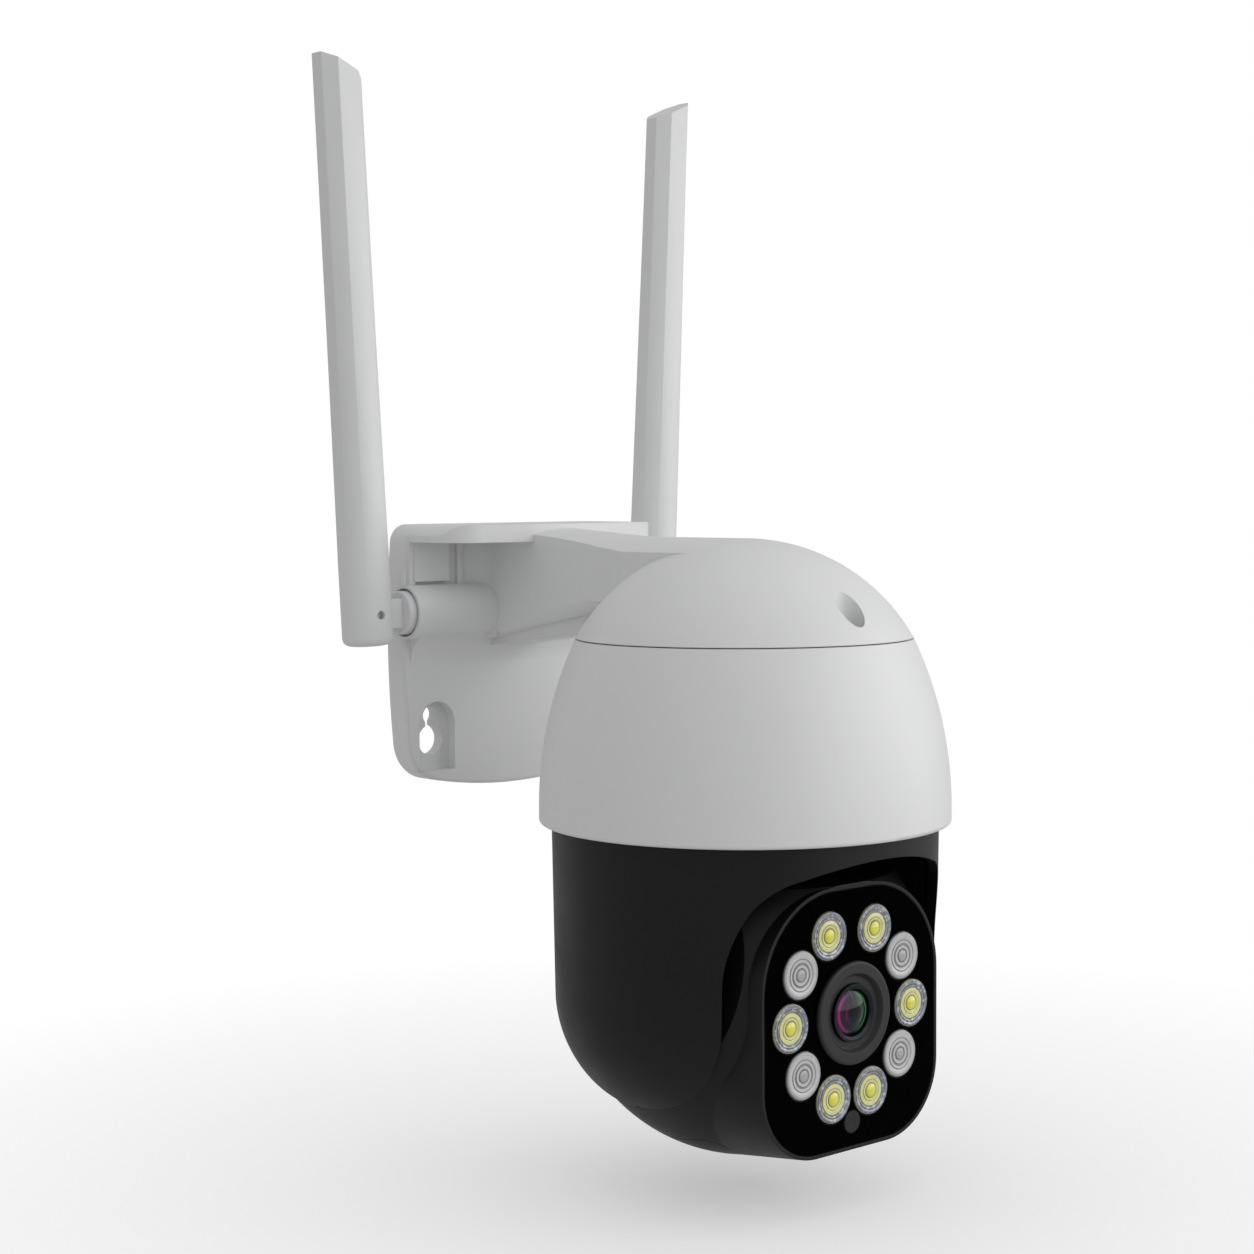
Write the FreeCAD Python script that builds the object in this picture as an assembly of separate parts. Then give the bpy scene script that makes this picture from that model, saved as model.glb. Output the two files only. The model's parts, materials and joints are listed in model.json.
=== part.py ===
"""Wall-mounted pan and tilt security camera with two folding antennas.

Lengths are in millimetres.  Each piece is drawn in the pan frame: its origin is on the
pan axis, level with the dome's lower rim, +Z is up, +Y points at the wall and the lens
looks along -Y.  write_node() moves it to the part's own frame, whose origin is on the
wall plane, midway between the two wall screws.
"""
import FreeCAD, Part
import math
import os

V = FreeCAD.Vector
X_AXIS = V(1, 0, 0)
Y_AXIS = V(0, 1, 0)
Z_AXIS = V(0, 0, 1)

# Distance of the pan axis from the wall
PAN_TO_WALL = 106.0

# Dome shell and cap
RIM_RADIUS = 54.9
RIM_TOP = 4.0
SEAM_Z = 48.8
SEAM_GAP = 0.14
CAP_RADIUS = 51.4
CAP_TOP = 75.2
WHITE_WALL = 2.5
RECESS_Y = -38.2
RECESS_RADIUS = 3.9
RECESS_FLOOR = 48.0

# Wall plate and hood
PLATE_FRONT = 98.6
PLATE_TOP = 78.6
PLATE_WALL = 3.0
HOOD_HALF_WIDTH = 38.3
HOOD_UNDERSIDE = 73.5
HOOD_FRONT = 74.2
HOOD_BOW = 72.0
KEYHOLE_X = 28.0
KEYHOLE_SEAT_Z = 23.0
KEYHOLE_HEAD_Z = 15.8
KEYHOLE_SEAT_RADIUS = 2.6
KEYHOLE_NECK_HALF_WIDTH = 1.8
KEYHOLE_HEAD_RADIUS = 4.4
REAR_BOSS_X = 21.5
REAR_BOSS_Y = 26.5
GASKET_LEDGE = 104.8
POCKET_FLOOR = 102.0
POCKET_HALF_WIDTH = 6.4

# Arm
ARM_HALF_WIDTH = 12.5
DUCT_HALF_WIDTH = 6.5
DUCT_LOW = 53.0
DUCT_HIGH = 69.0

ARM_ROOT_FILLET = 8.0
ARM_ROOT_LOW = 45.5

# Antennas
ANTENNA_Y = 96.5
ANTENNA_Z = 53.6
HINGE_X = 54.0
SOCKET_MOUTH_X = 41.0
SOCKET_RADIUS = 7.7
FAIRING_RADIUS = 10.0
FAIRING_END_X = 37.5
STEM_RADIUS = 4.5
RUNNING_GAP = 0.05
LEAN = 2.96
BLADE_TOP = 155.1
BLADE_BOTTOM = -8.7
BLADE_BASE_RADIUS = 7.2
BLADE_ROUND_TOP = 12.0
BLADE_TIP_CORNERS = ((6.5, 2.2), (3.2, 5.5))
TONGUE_HALF_THICKNESS = 2.5
HINGE_PIN_RADIUS = 1.2

# Pan drive
CHASSIS_LOW = 8.5
CHASSIS_HIGH = 11.0
CHASSIS_RADIUS = 51.3
SPINDLE_RADIUS = 8.0
PAN_GEAR_TEETH = 48
PAN_PINION_TEETH = 12
PAN_MODULE = 1.0
PAN_CENTRES = PAN_MODULE * (PAN_GEAR_TEETH + PAN_PINION_TEETH) / 2
BOARD_Z = 36.0
BOARD_THICKNESS = 1.6

# Pan housing
HOUSING_TOP_RADIUS = 51.6
HOUSING_LOW_RADIUS = 50.9
HOUSING_TOP = 1.5
HOUSING_SHOULDER_Z = -45.1
HOUSING_CORNER_RADIUS = 34.0
HOUSING_MOUTH_RADIUS = 38.8
HOUSING_BORE = 48.9
OPENING_HALF_WIDTH = 39.5
TILT_Z = -40.5
CHEEK_INNER = 39.6
CHEEK_OUTER = 41.4
REAR_SLOT_HALF_WIDTH = 38.3
REAR_SLOT_TOP = -48.0

# Tilting head
BALL_RADIUS = 48.5
HEAD_HALF_WIDTH = 39.0
HEAD_WALL = 2.2
TAPER_END_Y = -10.9
CHIN_SLOPE = 0.231
CHIN_CORNER_GROW = 17.6
SIDE_GROW = 5.5
TOP_RISE = 2.0
SIDE_AT_TOP = 29.5
SIDE_DRAFT_BACK = 0.068
SIDE_DRAFT_DOWN = 0.2
FACE_Y = -39.2
FACE_HALF_WIDTH = 32.6
FACE_TOP = -12.8
FACE_BOTTOM = -81.4
FACE_TOP_CORNER = 25.4
FACE_BOTTOM_CORNER = 19.4
PANEL_THICKNESS = 3.0
LENS_Z = -45.8
GLASS_RADIUS = 6.1
LED_RING_RADIUS = 22.44
LED_RADIUS = 6.35
WHITE_LED_ANGLES = (22, 92, 162)
INFRARED_LED_ANGLES = (57, 127)
SENSOR_DOT_Z = -74.1
TRUNNION_RADIUS = 4.0
TILT_GEAR_TEETH = 44
TILT_PINION_TEETH = 11
TILT_MODULE = 0.8
TILT_PINION_Y = 11.0
SKIRT_END_ANGLE = 150.0
SKIRT_HALF_WIDTH = 36.0
BODY_END_ANGLE = 120.0
BODY_BACK_Y = -2.0
LED_BOARD_FRONT = -33.7

# Hatch under the head, with what lies behind it
HATCH_HALF_X = 26.5
HATCH_FRONT = -14.0
HATCH_BACK = 10.0
HATCH_CORNER = 5.0
HATCH_GAP = 0.3
HATCH_SCREW_X = 12.5
HATCH_SCREW_Y = 7.6
HATCH_SCREW_SEAT_Z = -85.2
CARD_BOARD_Z = -76.5
CARD_BOARD_Y = -13.5
RESET_X = 7.5
RESET_Y = -0.5
RESET_TRAVEL = 0.4


# ---------------------------------------------------------------- helpers

def write_node(name, shape):
    """Move a shape from the pan frame to the part's frame and write it."""
    placed = shape.copy()
    placed.translate(V(0, -PAN_TO_WALL, -KEYHOLE_SEAT_Z))
    placed.exportStep("parts/%s.step" % name)


def cylinder(radius, start, end):
    """A cylinder between two points."""
    span = V(*end) - V(*start)
    return Part.makeCylinder(radius, span.Length, V(*start), span)


def tube(outer, inner, start, end):
    return cylinder(outer, start, end).cut(cylinder(inner, start, end))


def box(low, high):
    size = V(*high) - V(*low)
    return Part.makeBox(size.x, size.y, size.z, V(*low))


def outline(start, *steps):
    """A closed face from a start point and steps.

    Each step is one point for a straight side, or two points, middle and end, for an arc.
    """
    here = V(*start)
    edges = []
    for step in steps:
        points = [V(*p) for p in step]
        if len(points) == 1:
            edges.append(Part.makeLine(here, points[0]))
        else:
            edges.append(Part.Arc(here, points[0], points[1]).toShape())
        here = points[-1]
    if (here - V(*start)).Length > 1e-6:
        edges.append(Part.makeLine(here, V(*start)))
    return Part.Face(Part.Wire(edges))


def lathe(*args):
    """Revolve an outline, given in (x, 0, z), about the pan axis."""
    return outline(*args).revolve(V(0, 0, 0), Z_AXIS, 360)


def rounded_slab(half_x, low_y, high_y, radius, low_z, high_z):
    """A flat slab across x = 0 with rounded vertical corners."""
    slab = box((-half_x, low_y, low_z), (half_x, high_y, high_z))
    upright = [e for e in slab.Edges if abs(e.tangentAt(e.FirstParameter).z) > 0.99]
    return slab.makeFillet(radius, upright)


def mirrored(shape):
    return shape.mirror(V(0, 0, 0), X_AXIS)


def one_solid(shape):
    """The largest solid of a boolean's result, refined."""
    solid = max(shape.Solids, key=lambda s: s.Volume)
    return solid.removeSplitter()


def group(solids):
    return Part.makeCompound(list(solids))


def screw(head_radius, head_height, shank_radius, shank_length, seat, direction=V(0, 0, -1)):
    """A cross-recessed screw: its shank leaves the seat along the direction."""
    way = V(*direction)
    seat = V(*seat)
    head = Part.makeCylinder(head_radius, head_height, seat - way * head_height, way)
    shank = Part.makeCylinder(shank_radius, shank_length, seat, way)
    side = way.cross(X_AXIS if abs(way.x) < 0.9 else Y_AXIS)
    half = head_radius * 0.55
    thin = head_radius * 0.16
    other = way.cross(side)
    body = head.fuse(shank)
    for a, b in ((side, other), (other, side)):
        corner = seat - way * (head_height + 0.1) - a * half - b * thin
        face = Part.Face(Part.makePolygon([
            corner, corner + a * 2 * half, corner + a * 2 * half + b * 2 * thin,
            corner + b * 2 * thin, corner]))
        recess = face.extrude(way * (head_height * 0.55 + 0.1))
        body = body.cut(recess)
    return body


def gear(teeth, module, width, bore, tooth_fill=0.92):
    """A spur gear about +Z, base at z = 0, with one tooth centred on +X."""
    pitch = teeth * module / 2
    root = pitch - 1.2 * module
    tip = pitch + 0.85 * module
    step = 2 * math.pi / teeth
    half = step / 4 * tooth_fill
    points = []
    for i in range(teeth):
        middle = i * step
        for radius, offset in ((root, -1.5 * half), (pitch, -half), (tip, -0.45 * half),
                               (tip, 0.45 * half), (pitch, half), (root, 1.5 * half)):
            angle = middle + offset
            points.append(V(radius * math.cos(angle), radius * math.sin(angle), 0))
    points.append(points[0])
    body = Part.Face(Part.makePolygon(points)).extrude(V(0, 0, width))
    return body.cut(cylinder(bore, (0, 0, -1), (0, 0, width + 1)))


# ---------------------------------------------------------------- bracket, one moulding

def cap_solid(radius):
    """The ball-shaped dome cap above the seam."""
    centre_z = CAP_TOP - CAP_RADIUS
    ball = Part.makeSphere(radius, V(0, 0, centre_z))
    return ball.common(box((-60, -60, SEAM_Z + SEAM_GAP), (60, 60, 90)))


def arm_solid():
    """Arm from the cap to the plate: crowned on top, waisted in plan, with a rising belly."""
    waist = 80.0
    root_half = 19.0
    plan = outline((-ARM_HALF_WIDTH, PLATE_FRONT + 1, 0), ((-ARM_HALF_WIDTH, waist, 0),),
                   ((-14.0, 55, 0), (-root_half, 28, 0)), ((-root_half, 0, 0),),
                   ((root_half, 0, 0),), ((root_half, 28, 0),),
                   ((14.0, 55, 0), (ARM_HALF_WIDTH, waist, 0)),
                   ((ARM_HALF_WIDTH, PLATE_FRONT + 1, 0),)).extrude(V(0, 0, 90))
    axis_z = CAP_TOP - CAP_RADIUS
    bend_y = 42.0
    rise = PLATE_TOP - CAP_TOP
    slope = V(0, PLATE_FRONT - bend_y, rise)
    level_crown = cylinder(CAP_RADIUS, (0, 0, axis_z), (0, bend_y, axis_z))
    rising_crown = Part.makeCylinder(CAP_RADIUS, slope.Length + 4, V(0, bend_y - 1, axis_z), slope)
    crown = level_crown.fuse(rising_crown)
    side = outline((0, 0, 57.5), ((0, 30, 57.5),), ((0, 65, 51.0), (0, PLATE_FRONT + 1, 44.0)),
                   ((0, PLATE_FRONT + 1, 90),), ((0, 0, 90),))
    belly = side.extrude(V(80, 0, 0))
    belly.translate(V(-40, 0, 0))
    arm = plan.common(crown).common(belly)
    soft = [e for e in arm.Edges
            if e.BoundBox.YMin > 28.5 and e.BoundBox.YMax < PLATE_FRONT + 1.5
            and abs(e.BoundBox.XMax) > 12 and e.BoundBox.ZMax < 60 and e.Length > 8
            and abs(e.BoundBox.XMax + e.BoundBox.XMin) > 20]
    if soft:
        arm = arm.makeFillet(3.5, soft)
    web_half = 9.0
    web = outline((-web_half, 36, SEAM_Z + SEAM_GAP), ((-web_half, 46, SEAM_Z + SEAM_GAP),),
                  ((-web_half, PLATE_FRONT + 1, 42.5),), ((-web_half, PLATE_FRONT + 1, 60),),
                  ((-web_half, 36, 60),)).extrude(V(2 * web_half, 0, 0))
    return arm.fuse(web)


def plate_outline(inset, y):
    """Outline of the wall plate seen from the front, moved in by inset."""
    face = outline((-38.3, y, PLATE_TOP), ((-39.9, y, 46), (-37.4, y, 6.4)), ((0, y, 1.5), (37.4, y, 6.4)),
                   ((39.9, y, 46), (38.3, y, PLATE_TOP)))
    slab = face.extrude(V(0, 1, 0))
    corners = [e for e in slab.Edges if e.Length < 1.01]
    slab = slab.makeFillet(12.0, [e for e in corners if e.BoundBox.ZMax < 30])
    corners = [e for e in slab.Edges if e.Length < 1.01 and e.BoundBox.ZMin > PLATE_TOP - 1]
    slab = slab.makeFillet(5.5, corners)
    face = next(f for f in slab.Faces if f.BoundBox.YMax < y + 0.01)
    return face.makeOffset2D(-inset) if inset else face


def hood_solid():
    """The rain hood over the plate, with rounded ends and a slightly bowed front."""
    w = HOOD_HALF_WIDTH
    corner = 10.0
    start = HOOD_FRONT + corner
    plan = outline((-w, PAN_TO_WALL, 0), ((-w, start, 0),),
                   ((-w + 2.9, HOOD_FRONT + 2.9, 0), (-w + corner, HOOD_FRONT, 0)),
                   ((0, HOOD_BOW, 0), (w - corner, HOOD_FRONT, 0)),
                   ((w - 2.9, HOOD_FRONT + 2.9, 0), (w, start, 0)),
                   ((w, PAN_TO_WALL, 0),)).extrude(V(0, 0, 90))
    section = plate_outline(0, 60).extrude(V(0, 60, 0))
    above = box((-60, 60, HOOD_UNDERSIDE), (60, PAN_TO_WALL, 90))
    hood = plan.common(section).common(above)
    lip = 3.0
    for sign in (-1, 1):
        low = min(sign * (ARM_HALF_WIDTH + 2), sign * (w - lip))
        high = max(sign * (ARM_HALF_WIDTH + 2), sign * (w - lip))
        hood = hood.cut(box((low, HOOD_FRONT + corner, HOOD_UNDERSIDE - 1),
                            (high, PLATE_FRONT, HOOD_UNDERSIDE + 2)))
    return hood


def plate_solid():
    """Back plate as a full slab with softened front edges."""
    plate = plate_outline(0, PLATE_FRONT).extrude(V(0, PAN_TO_WALL - PLATE_FRONT, 0))
    front_edges = [e for e in plate.Edges if e.BoundBox.YMax < PLATE_FRONT + 0.01]
    return plate.makeFillet(1.0, front_edges)


def plate_hollow():
    """Space behind the plate's front wall, with a ledge for the gasket."""
    deep = plate_outline(5.0, PLATE_FRONT + PLATE_WALL).extrude(V(0, 20, 0))
    return deep.fuse(plate_outline(2.6, GASKET_LEDGE).extrude(V(0, 20, 0)))


def keyhole_cut(x):
    """Arched pocket in the plate's front and the keyhole through its floor."""
    arch_z = 20.8
    foot_z = 7.2
    pocket = outline((x - POCKET_HALF_WIDTH, 90, foot_z), ((x + POCKET_HALF_WIDTH, 90, foot_z),),
                     ((x + POCKET_HALF_WIDTH, 90, arch_z),),
                     ((x, 90, arch_z + POCKET_HALF_WIDTH), (x - POCKET_HALF_WIDTH, 90, arch_z)))
    cut = pocket.extrude(V(0, POCKET_FLOOR - 90, 0))
    cut = cut.fuse(cylinder(KEYHOLE_HEAD_RADIUS, (x, 90, KEYHOLE_HEAD_Z), (x, 110, KEYHOLE_HEAD_Z)))
    cut = cut.fuse(cylinder(KEYHOLE_SEAT_RADIUS, (x, 90, KEYHOLE_SEAT_Z), (x, 110, KEYHOLE_SEAT_Z)))
    return cut.fuse(box((x - KEYHOLE_NECK_HALF_WIDTH, 90, KEYHOLE_HEAD_Z),
                        (x + KEYHOLE_NECK_HALF_WIDTH, 110, KEYHOLE_SEAT_Z)))


def socket_solid():
    """Left antenna socket: a tube lying along the plate's front."""
    return cylinder(SOCKET_RADIUS, (-SOCKET_MOUTH_X, ANTENNA_Y, ANTENNA_Z), (-9.5, ANTENNA_Y, ANTENNA_Z))


def socket_fairing():
    """Left concave run-in from the underside of the socket's tube to the plate's front."""
    offset = PLATE_FRONT - FAIRING_RADIUS - ANTENNA_Y
    reach = SOCKET_RADIUS + FAIRING_RADIUS
    drop = math.sqrt(reach ** 2 - offset ** 2)
    centre = V(-FAIRING_END_X, PLATE_FRONT - FAIRING_RADIUS, ANTENNA_Z - drop)
    socket_centre = V(-FAIRING_END_X, ANTENNA_Y, ANTENNA_Z)
    to_socket = (socket_centre - centre) / reach
    middle = (to_socket + Y_AXIS).normalize()
    plate_touch = centre + Y_AXIS * FAIRING_RADIUS
    face = outline(tuple(plate_touch),
                   (tuple(centre + middle * FAIRING_RADIUS), tuple(centre + to_socket * FAIRING_RADIUS)),
                   (tuple(socket_centre),), ((-FAIRING_END_X, PLATE_FRONT + 1, ANTENNA_Z),),
                   ((-FAIRING_END_X, PLATE_FRONT + 1, plate_touch.z),))
    return face.extrude(V(FAIRING_END_X, 0, 0))


def arm_root_fillet():
    """Concave upright corner between the arm's side and the plate, drawn at +X."""
    r = ARM_ROOT_FILLET
    x, y = ARM_HALF_WIDTH, PLATE_FRONT
    near = r * (1 - math.sqrt(0.5))
    face = outline((x - 1, y - r, ARM_ROOT_LOW), ((x, y - r, ARM_ROOT_LOW),),
                   ((x + near, y - near, ARM_ROOT_LOW), (x + r, y, ARM_ROOT_LOW)),
                   ((x + r, y + 1, ARM_ROOT_LOW),), ((x - 1, y + 1, ARM_ROOT_LOW),))
    return face.extrude(V(0, 0, HOOD_UNDERSIDE + 0.5 - ARM_ROOT_LOW))


def socket_cut():
    """Left antenna socket's stepped bore, with a window to the back for its nut."""
    y, z = ANTENNA_Y, ANTENNA_Z
    cut = cylinder(6.9, (-SOCKET_MOUTH_X - 1, y, z), (-38.6, y, z))
    cut = cut.fuse(cylinder(STEM_RADIUS + RUNNING_GAP, (-39, y, z), (-33, y, z)))
    cut = cut.fuse(cylinder(6.3, (-33, y, z), (-16, y, z)))
    return cut.fuse(box((-33, y, z - 5), (-16, PAN_TO_WALL + 1, z + 5)))


def plate_details():
    """Ribs and blocks on the plate's front under the hood, drawn at +X."""
    return [box((36.2, 97.2, 56), (38.4, 100, 74.5)),
            box((24.5, 96.6, 62.2), (37.0, 100, 74.5)),
            box((19.0, 97.4, 58), (21.0, 100, 74.5))]


def keyhole_boss():
    """Block behind each keyhole that bears on the wall, drawn at +X."""
    return box((20.0, 100, 5.0), (36.0, PAN_TO_WALL, 29.5)).common(
        plate_outline(0, 90).extrude(V(0, 20, 0)))


def rear_cap_boss(x):
    under_skin = Part.makeSphere(CAP_RADIUS - 0.5, V(0, 0, CAP_TOP - CAP_RADIUS))
    return cylinder(4.0, (x, REAR_BOSS_Y, 46), (x, REAR_BOSS_Y, 66)).common(under_skin)


def recess_tube():
    """Tube under the front screw's recess; narrow where it passes the seal."""
    under_skin = Part.makeSphere(CAP_RADIUS - 0.5, V(0, 0, CAP_TOP - CAP_RADIUS))
    wide = cylinder(5.3, (0, RECESS_Y, 49.4), (0, RECESS_Y, 75)).common(under_skin)
    return cylinder(4.3, (0, RECESS_Y, 46), (0, RECESS_Y, 50)).fuse(wide)


def wall_bracket():
    front = [hood_solid(), arm_solid(), cap_solid(CAP_RADIUS)]
    for detail in (socket_solid(), socket_fairing(), arm_root_fillet()):
        front += [detail, mirrored(detail)]
    for detail in plate_details():
        front += [detail, mirrored(detail)]
    bracket = plate_solid().fuse(front)
    duct = box((-DUCT_HALF_WIDTH, 20, DUCT_LOW), (DUCT_HALF_WIDTH, PAN_TO_WALL + 1, DUCT_HIGH))
    bracket = bracket.cut(plate_hollow()).cut(cap_solid(CAP_RADIUS - WHITE_WALL)).cut(duct)
    bracket = bracket.fuse([recess_tube(), rear_cap_boss(REAR_BOSS_X), rear_cap_boss(-REAR_BOSS_X),
                            socket_solid(), mirrored(socket_solid()), keyhole_boss(),
                            mirrored(keyhole_boss())])
    cuts = [cylinder(RECESS_RADIUS, (0, RECESS_Y, RECESS_FLOOR), (0, RECESS_Y, 80)),
            cylinder(1.7, (0, RECESS_Y, 40), (0, RECESS_Y, 50)),
            socket_cut(), mirrored(socket_cut()), keyhole_cut(-KEYHOLE_X), keyhole_cut(KEYHOLE_X)]
    cuts += [cylinder(1.52, (x, REAR_BOSS_Y, 40), (x, REAR_BOSS_Y, 56)) for x in (-REAR_BOSS_X, REAR_BOSS_X)]
    for cut in cuts:
        bracket = bracket.cut(cut)
    return one_solid(bracket)


# ---------------------------------------------------------------- fixed pieces in the dome

def dome_shell():
    """White skirt of the dome: a barrel-shaped shell with a ledge and a spigot."""
    bulge = 105.4
    mid_z = (RIM_TOP + SEAM_Z) / 2
    centre_r = RIM_RADIUS - bulge

    def radius_at(z, wall):
        return centre_r + math.sqrt((bulge - wall) ** 2 - (z - RIM_TOP) ** 2)
    top = SEAM_Z - SEAM_GAP
    w = WHITE_WALL
    shell = lathe((RIM_RADIUS - w, 0, 0), ((RIM_RADIUS - 1.0, 0, 0),),
                  ((RIM_RADIUS - 0.3, 0, 0.3), (RIM_RADIUS, 0, 1.0)), ((RIM_RADIUS, 0, RIM_TOP),),
                  ((radius_at(mid_z, 0), 0, mid_z), (radius_at(top, 0), 0, top)),
                  ((radius_at(top, w), 0, top),),
                  ((radius_at(mid_z, w), 0, mid_z), (RIM_RADIUS - w, 0, RIM_TOP)))
    ledge = tube(53.0, 48.6, (0, 0, 6.0), (0, 0, CHASSIS_LOW))
    collar = tube(44.6, 38.7, (0, 0, 44.5), (0, 0, 46.2))
    spigot = tube(40.3, 38.7, (0, 0, 45), (0, 0, 51.0))
    shell = shell.fuse([ledge, collar, spigot])
    shell = shell.cut(tube(43.9, 42.9, (0, 0, 47.6), (0, 0, 49)))
    shell = shell.cut(cylinder(4.6, (0, RECESS_Y, 43), (0, RECESS_Y, 60)))
    shell = shell.cut(cylinder(5.9, (0, RECESS_Y, 49), (0, RECESS_Y, 60)))
    for angle in (45, 135, 225, 315):
        x, y = 49.8 * math.cos(math.radians(angle)), 49.8 * math.sin(math.radians(angle))
        shell = shell.cut(cylinder(1.12, (x, y, 5), (x, y, 9)))
    return one_solid(shell)


def seam_seal():
    return tube(43.85, 42.95, (0, 0, 47.65), (0, 0, SEAM_Z + SEAM_GAP - 0.02))


def chassis():
    """Inner plate of the dome: carries the bearing, the pan motor, the board and the cap."""
    low, high = CHASSIS_LOW, CHASSIS_HIGH
    plate = cylinder(CHASSIS_RADIUS, (0, 0, low), (0, 0, high))
    posts = [cylinder(15.5, (0, 0, low), (0, 0, 13.5)),
             cylinder(4.0, (0, RECESS_Y, low), (0, RECESS_Y, 45.8))]
    posts += [cylinder(4.0, (x, REAR_BOSS_Y, low), (x, REAR_BOSS_Y, 45.8))
              for x in (-REAR_BOSS_X, REAR_BOSS_X)]
    posts += [cylinder(2.6, (x, y, low), (x, y, BOARD_Z)) for x, y in ((-26, -14), (26, -14), (0, -29))]
    posts += [cylinder(2.2, (x, 30, low), (x, 30, 14.0)) for x in (-15.2, 15.2)]
    plate = plate.fuse(posts)
    cuts = [cylinder(13.0, (0, 0, 5), (0, 0, 20)), cylinder(3.4, (0, PAN_CENTRES, 5), (0, PAN_CENTRES, 13)),
            cylinder(1.52, (0, RECESS_Y, 30), (0, RECESS_Y, 50))]
    for x in (-REAR_BOSS_X, REAR_BOSS_X):
        cuts.append(cylinder(1.7, (x, REAR_BOSS_Y, 5), (x, REAR_BOSS_Y, 50)))
        cuts.append(cylinder(3.0, (x, REAR_BOSS_Y, 5), (x, REAR_BOSS_Y, 12.5)))
    for angle in (45, 135, 225, 315):
        x, y = 49.8 * math.cos(math.radians(angle)), 49.8 * math.sin(math.radians(angle))
        cuts.append(cylinder(1.15, (x, y, 5), (x, y, 12)))
    for x, y in ((-42, 0), (42, 0)):
        cuts.append(cylinder(5.0, (x, y, 5), (x, y, 12)))
    for cut in cuts:
        plate = plate.cut(cut)
    return one_solid(plate)


def pan_motor():
    """Geared stepper can with two ears, standing on the chassis."""
    y = PAN_CENTRES
    can = cylinder(12.6, (0, y, CHASSIS_HIGH), (0, y, 29.0))
    edges = [e for e in can.Edges if e.BoundBox.ZMin > 28.9]
    can = can.makeFillet(1.0, edges)
    ears = box((-17.6, y - 3, 14.0), (17.6, y + 3, 15.0))
    body = can.fuse(ears).fuse(box((-6, y - 16.5, 16), (6, y - 8, 24)))
    return one_solid(body.cut(cylinder(2.0 + RUNNING_GAP, (0, y, 5), (0, y, 14))))


def pan_pinion():
    """Pinion on the pan motor's shaft; a gap faces the pan gear."""
    shape = gear(PAN_PINION_TEETH, PAN_MODULE, 3.6, 0.5)
    shape = shape.fuse(cylinder(2.0, (0, 0, 0), (0, 0, 10.8)))
    half_tooth = 180.0 / PAN_PINION_TEETH
    shape.rotate(V(0, 0, 0), Z_AXIS, -90 + half_tooth)
    shape.translate(V(0, PAN_CENTRES, 2.9))
    return one_solid(shape)


def pan_bearing():
    return tube(13.0, SPINDLE_RADIUS + RUNNING_GAP, (0, 0, CHASSIS_LOW), (0, 0, 13.5))


def main_board():
    low, high = BOARD_Z, BOARD_Z + BOARD_THICKNESS
    board = cylinder(36.5, (0, 0, low), (0, 0, high))
    for x, y, r in ((-REAR_BOSS_X, REAR_BOSS_Y, 4.6), (REAR_BOSS_X, REAR_BOSS_Y, 4.6),
                    (0, RECESS_Y, 4.6), (0, 3, 6.0)):
        board = board.cut(cylinder(r, (x, y, low - 1), (x, y, high + 1)))
    for x, y in ((-26, -14), (26, -14), (0, -29)):
        board = board.cut(cylinder(1.2, (x, y, low - 1), (x, y, high + 1)))
    return board


def board_parts():
    """Heat sink, chokes, capacitors and plugs on the main board."""
    z = BOARD_Z + BOARD_THICKNESS
    sink = box((-20, -20, z), (-4, -4, z + 2))
    for i in range(5):
        sink = sink.fuse(box((-20 + 3.6 * i, -20, z + 1), (-18.4 + 3.6 * i, -4, z + 9)))
    solids = [one_solid(sink)]
    solids += [cylinder(3.0, (x, -22, z), (x, -22, z + 8)) for x in (12, 19)]
    solids += [cylinder(4.0, (-14, 16, z), (-14, 16, z + 9))]
    solids += [box((x, -4, z), (x + 9, 1, z + 5)) for x in (20, 8)]
    solids += [box((-29, -2, z), (-23, 10, z + 5))]
    return group(solids)


def wifi_module():
    z = BOARD_Z + BOARD_THICKNESS
    card = box((0, 12, z), (16, 30, z + 1))
    return one_solid(card.fuse(box((1, 13, z + 0.5), (15, 24, z + 3.2))))


def chassis_screws():
    seats = [(49.8 * math.cos(math.radians(a)), 49.8 * math.sin(math.radians(a)))
             for a in (45, 135, 225, 315)]
    return group(screw(1.9, 1.3, 1.1, 4.6, (x, y, CHASSIS_HIGH)) for x, y in seats)


def board_screws():
    z = BOARD_Z + BOARD_THICKNESS
    seats = ((-26, -14), (26, -14), (0, -29))
    return group(screw(2.0, 1.3, 1.1, BOARD_THICKNESS, (x, y, z)) for x, y in seats)


def front_cap_screw():
    return screw(3.0, 2.2, 1.5, 16.0, (0, RECESS_Y, RECESS_FLOOR))


def rear_cap_screws():
    return group(screw(2.7, 2.0, 1.5, 42.0, (x, REAR_BOSS_Y, 12.5), V(0, 0, 1))
                 for x in (-REAR_BOSS_X, REAR_BOSS_X))


def cable_grommet():
    """Rubber gland that closes the duct at the back plate; a lead would leave through it."""
    w = DUCT_HALF_WIDTH - 0.05
    low, high = DUCT_LOW + 0.05, DUCT_HIGH - 0.05
    plug = box((-w, 96, low), (w, 102, high))
    plug = plug.fuse(box((-w - 2, 101.65, low - 2), (w + 2, 103.4, high + 2)))
    middle = (low + high) / 2
    return one_solid(plug.cut(cylinder(2.6, (0, 90, middle), (0, 110, middle))))


def wall_gasket():
    """Foam gasket on the ledge inside the plate's rim."""
    depth = V(0, PAN_TO_WALL - GASKET_LEDGE, 0)
    ring = plate_outline(2.7, GASKET_LEDGE).extrude(depth)
    ring = ring.cut(plate_outline(7.5, GASKET_LEDGE - 1).extrude(V(0, 10, 0)))
    for block in (keyhole_boss(), mirrored(keyhole_boss())):
        ring = ring.cut(block)
    return group(ring.Solids)


# ---------------------------------------------------------------- antennas, left one drawn

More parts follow.
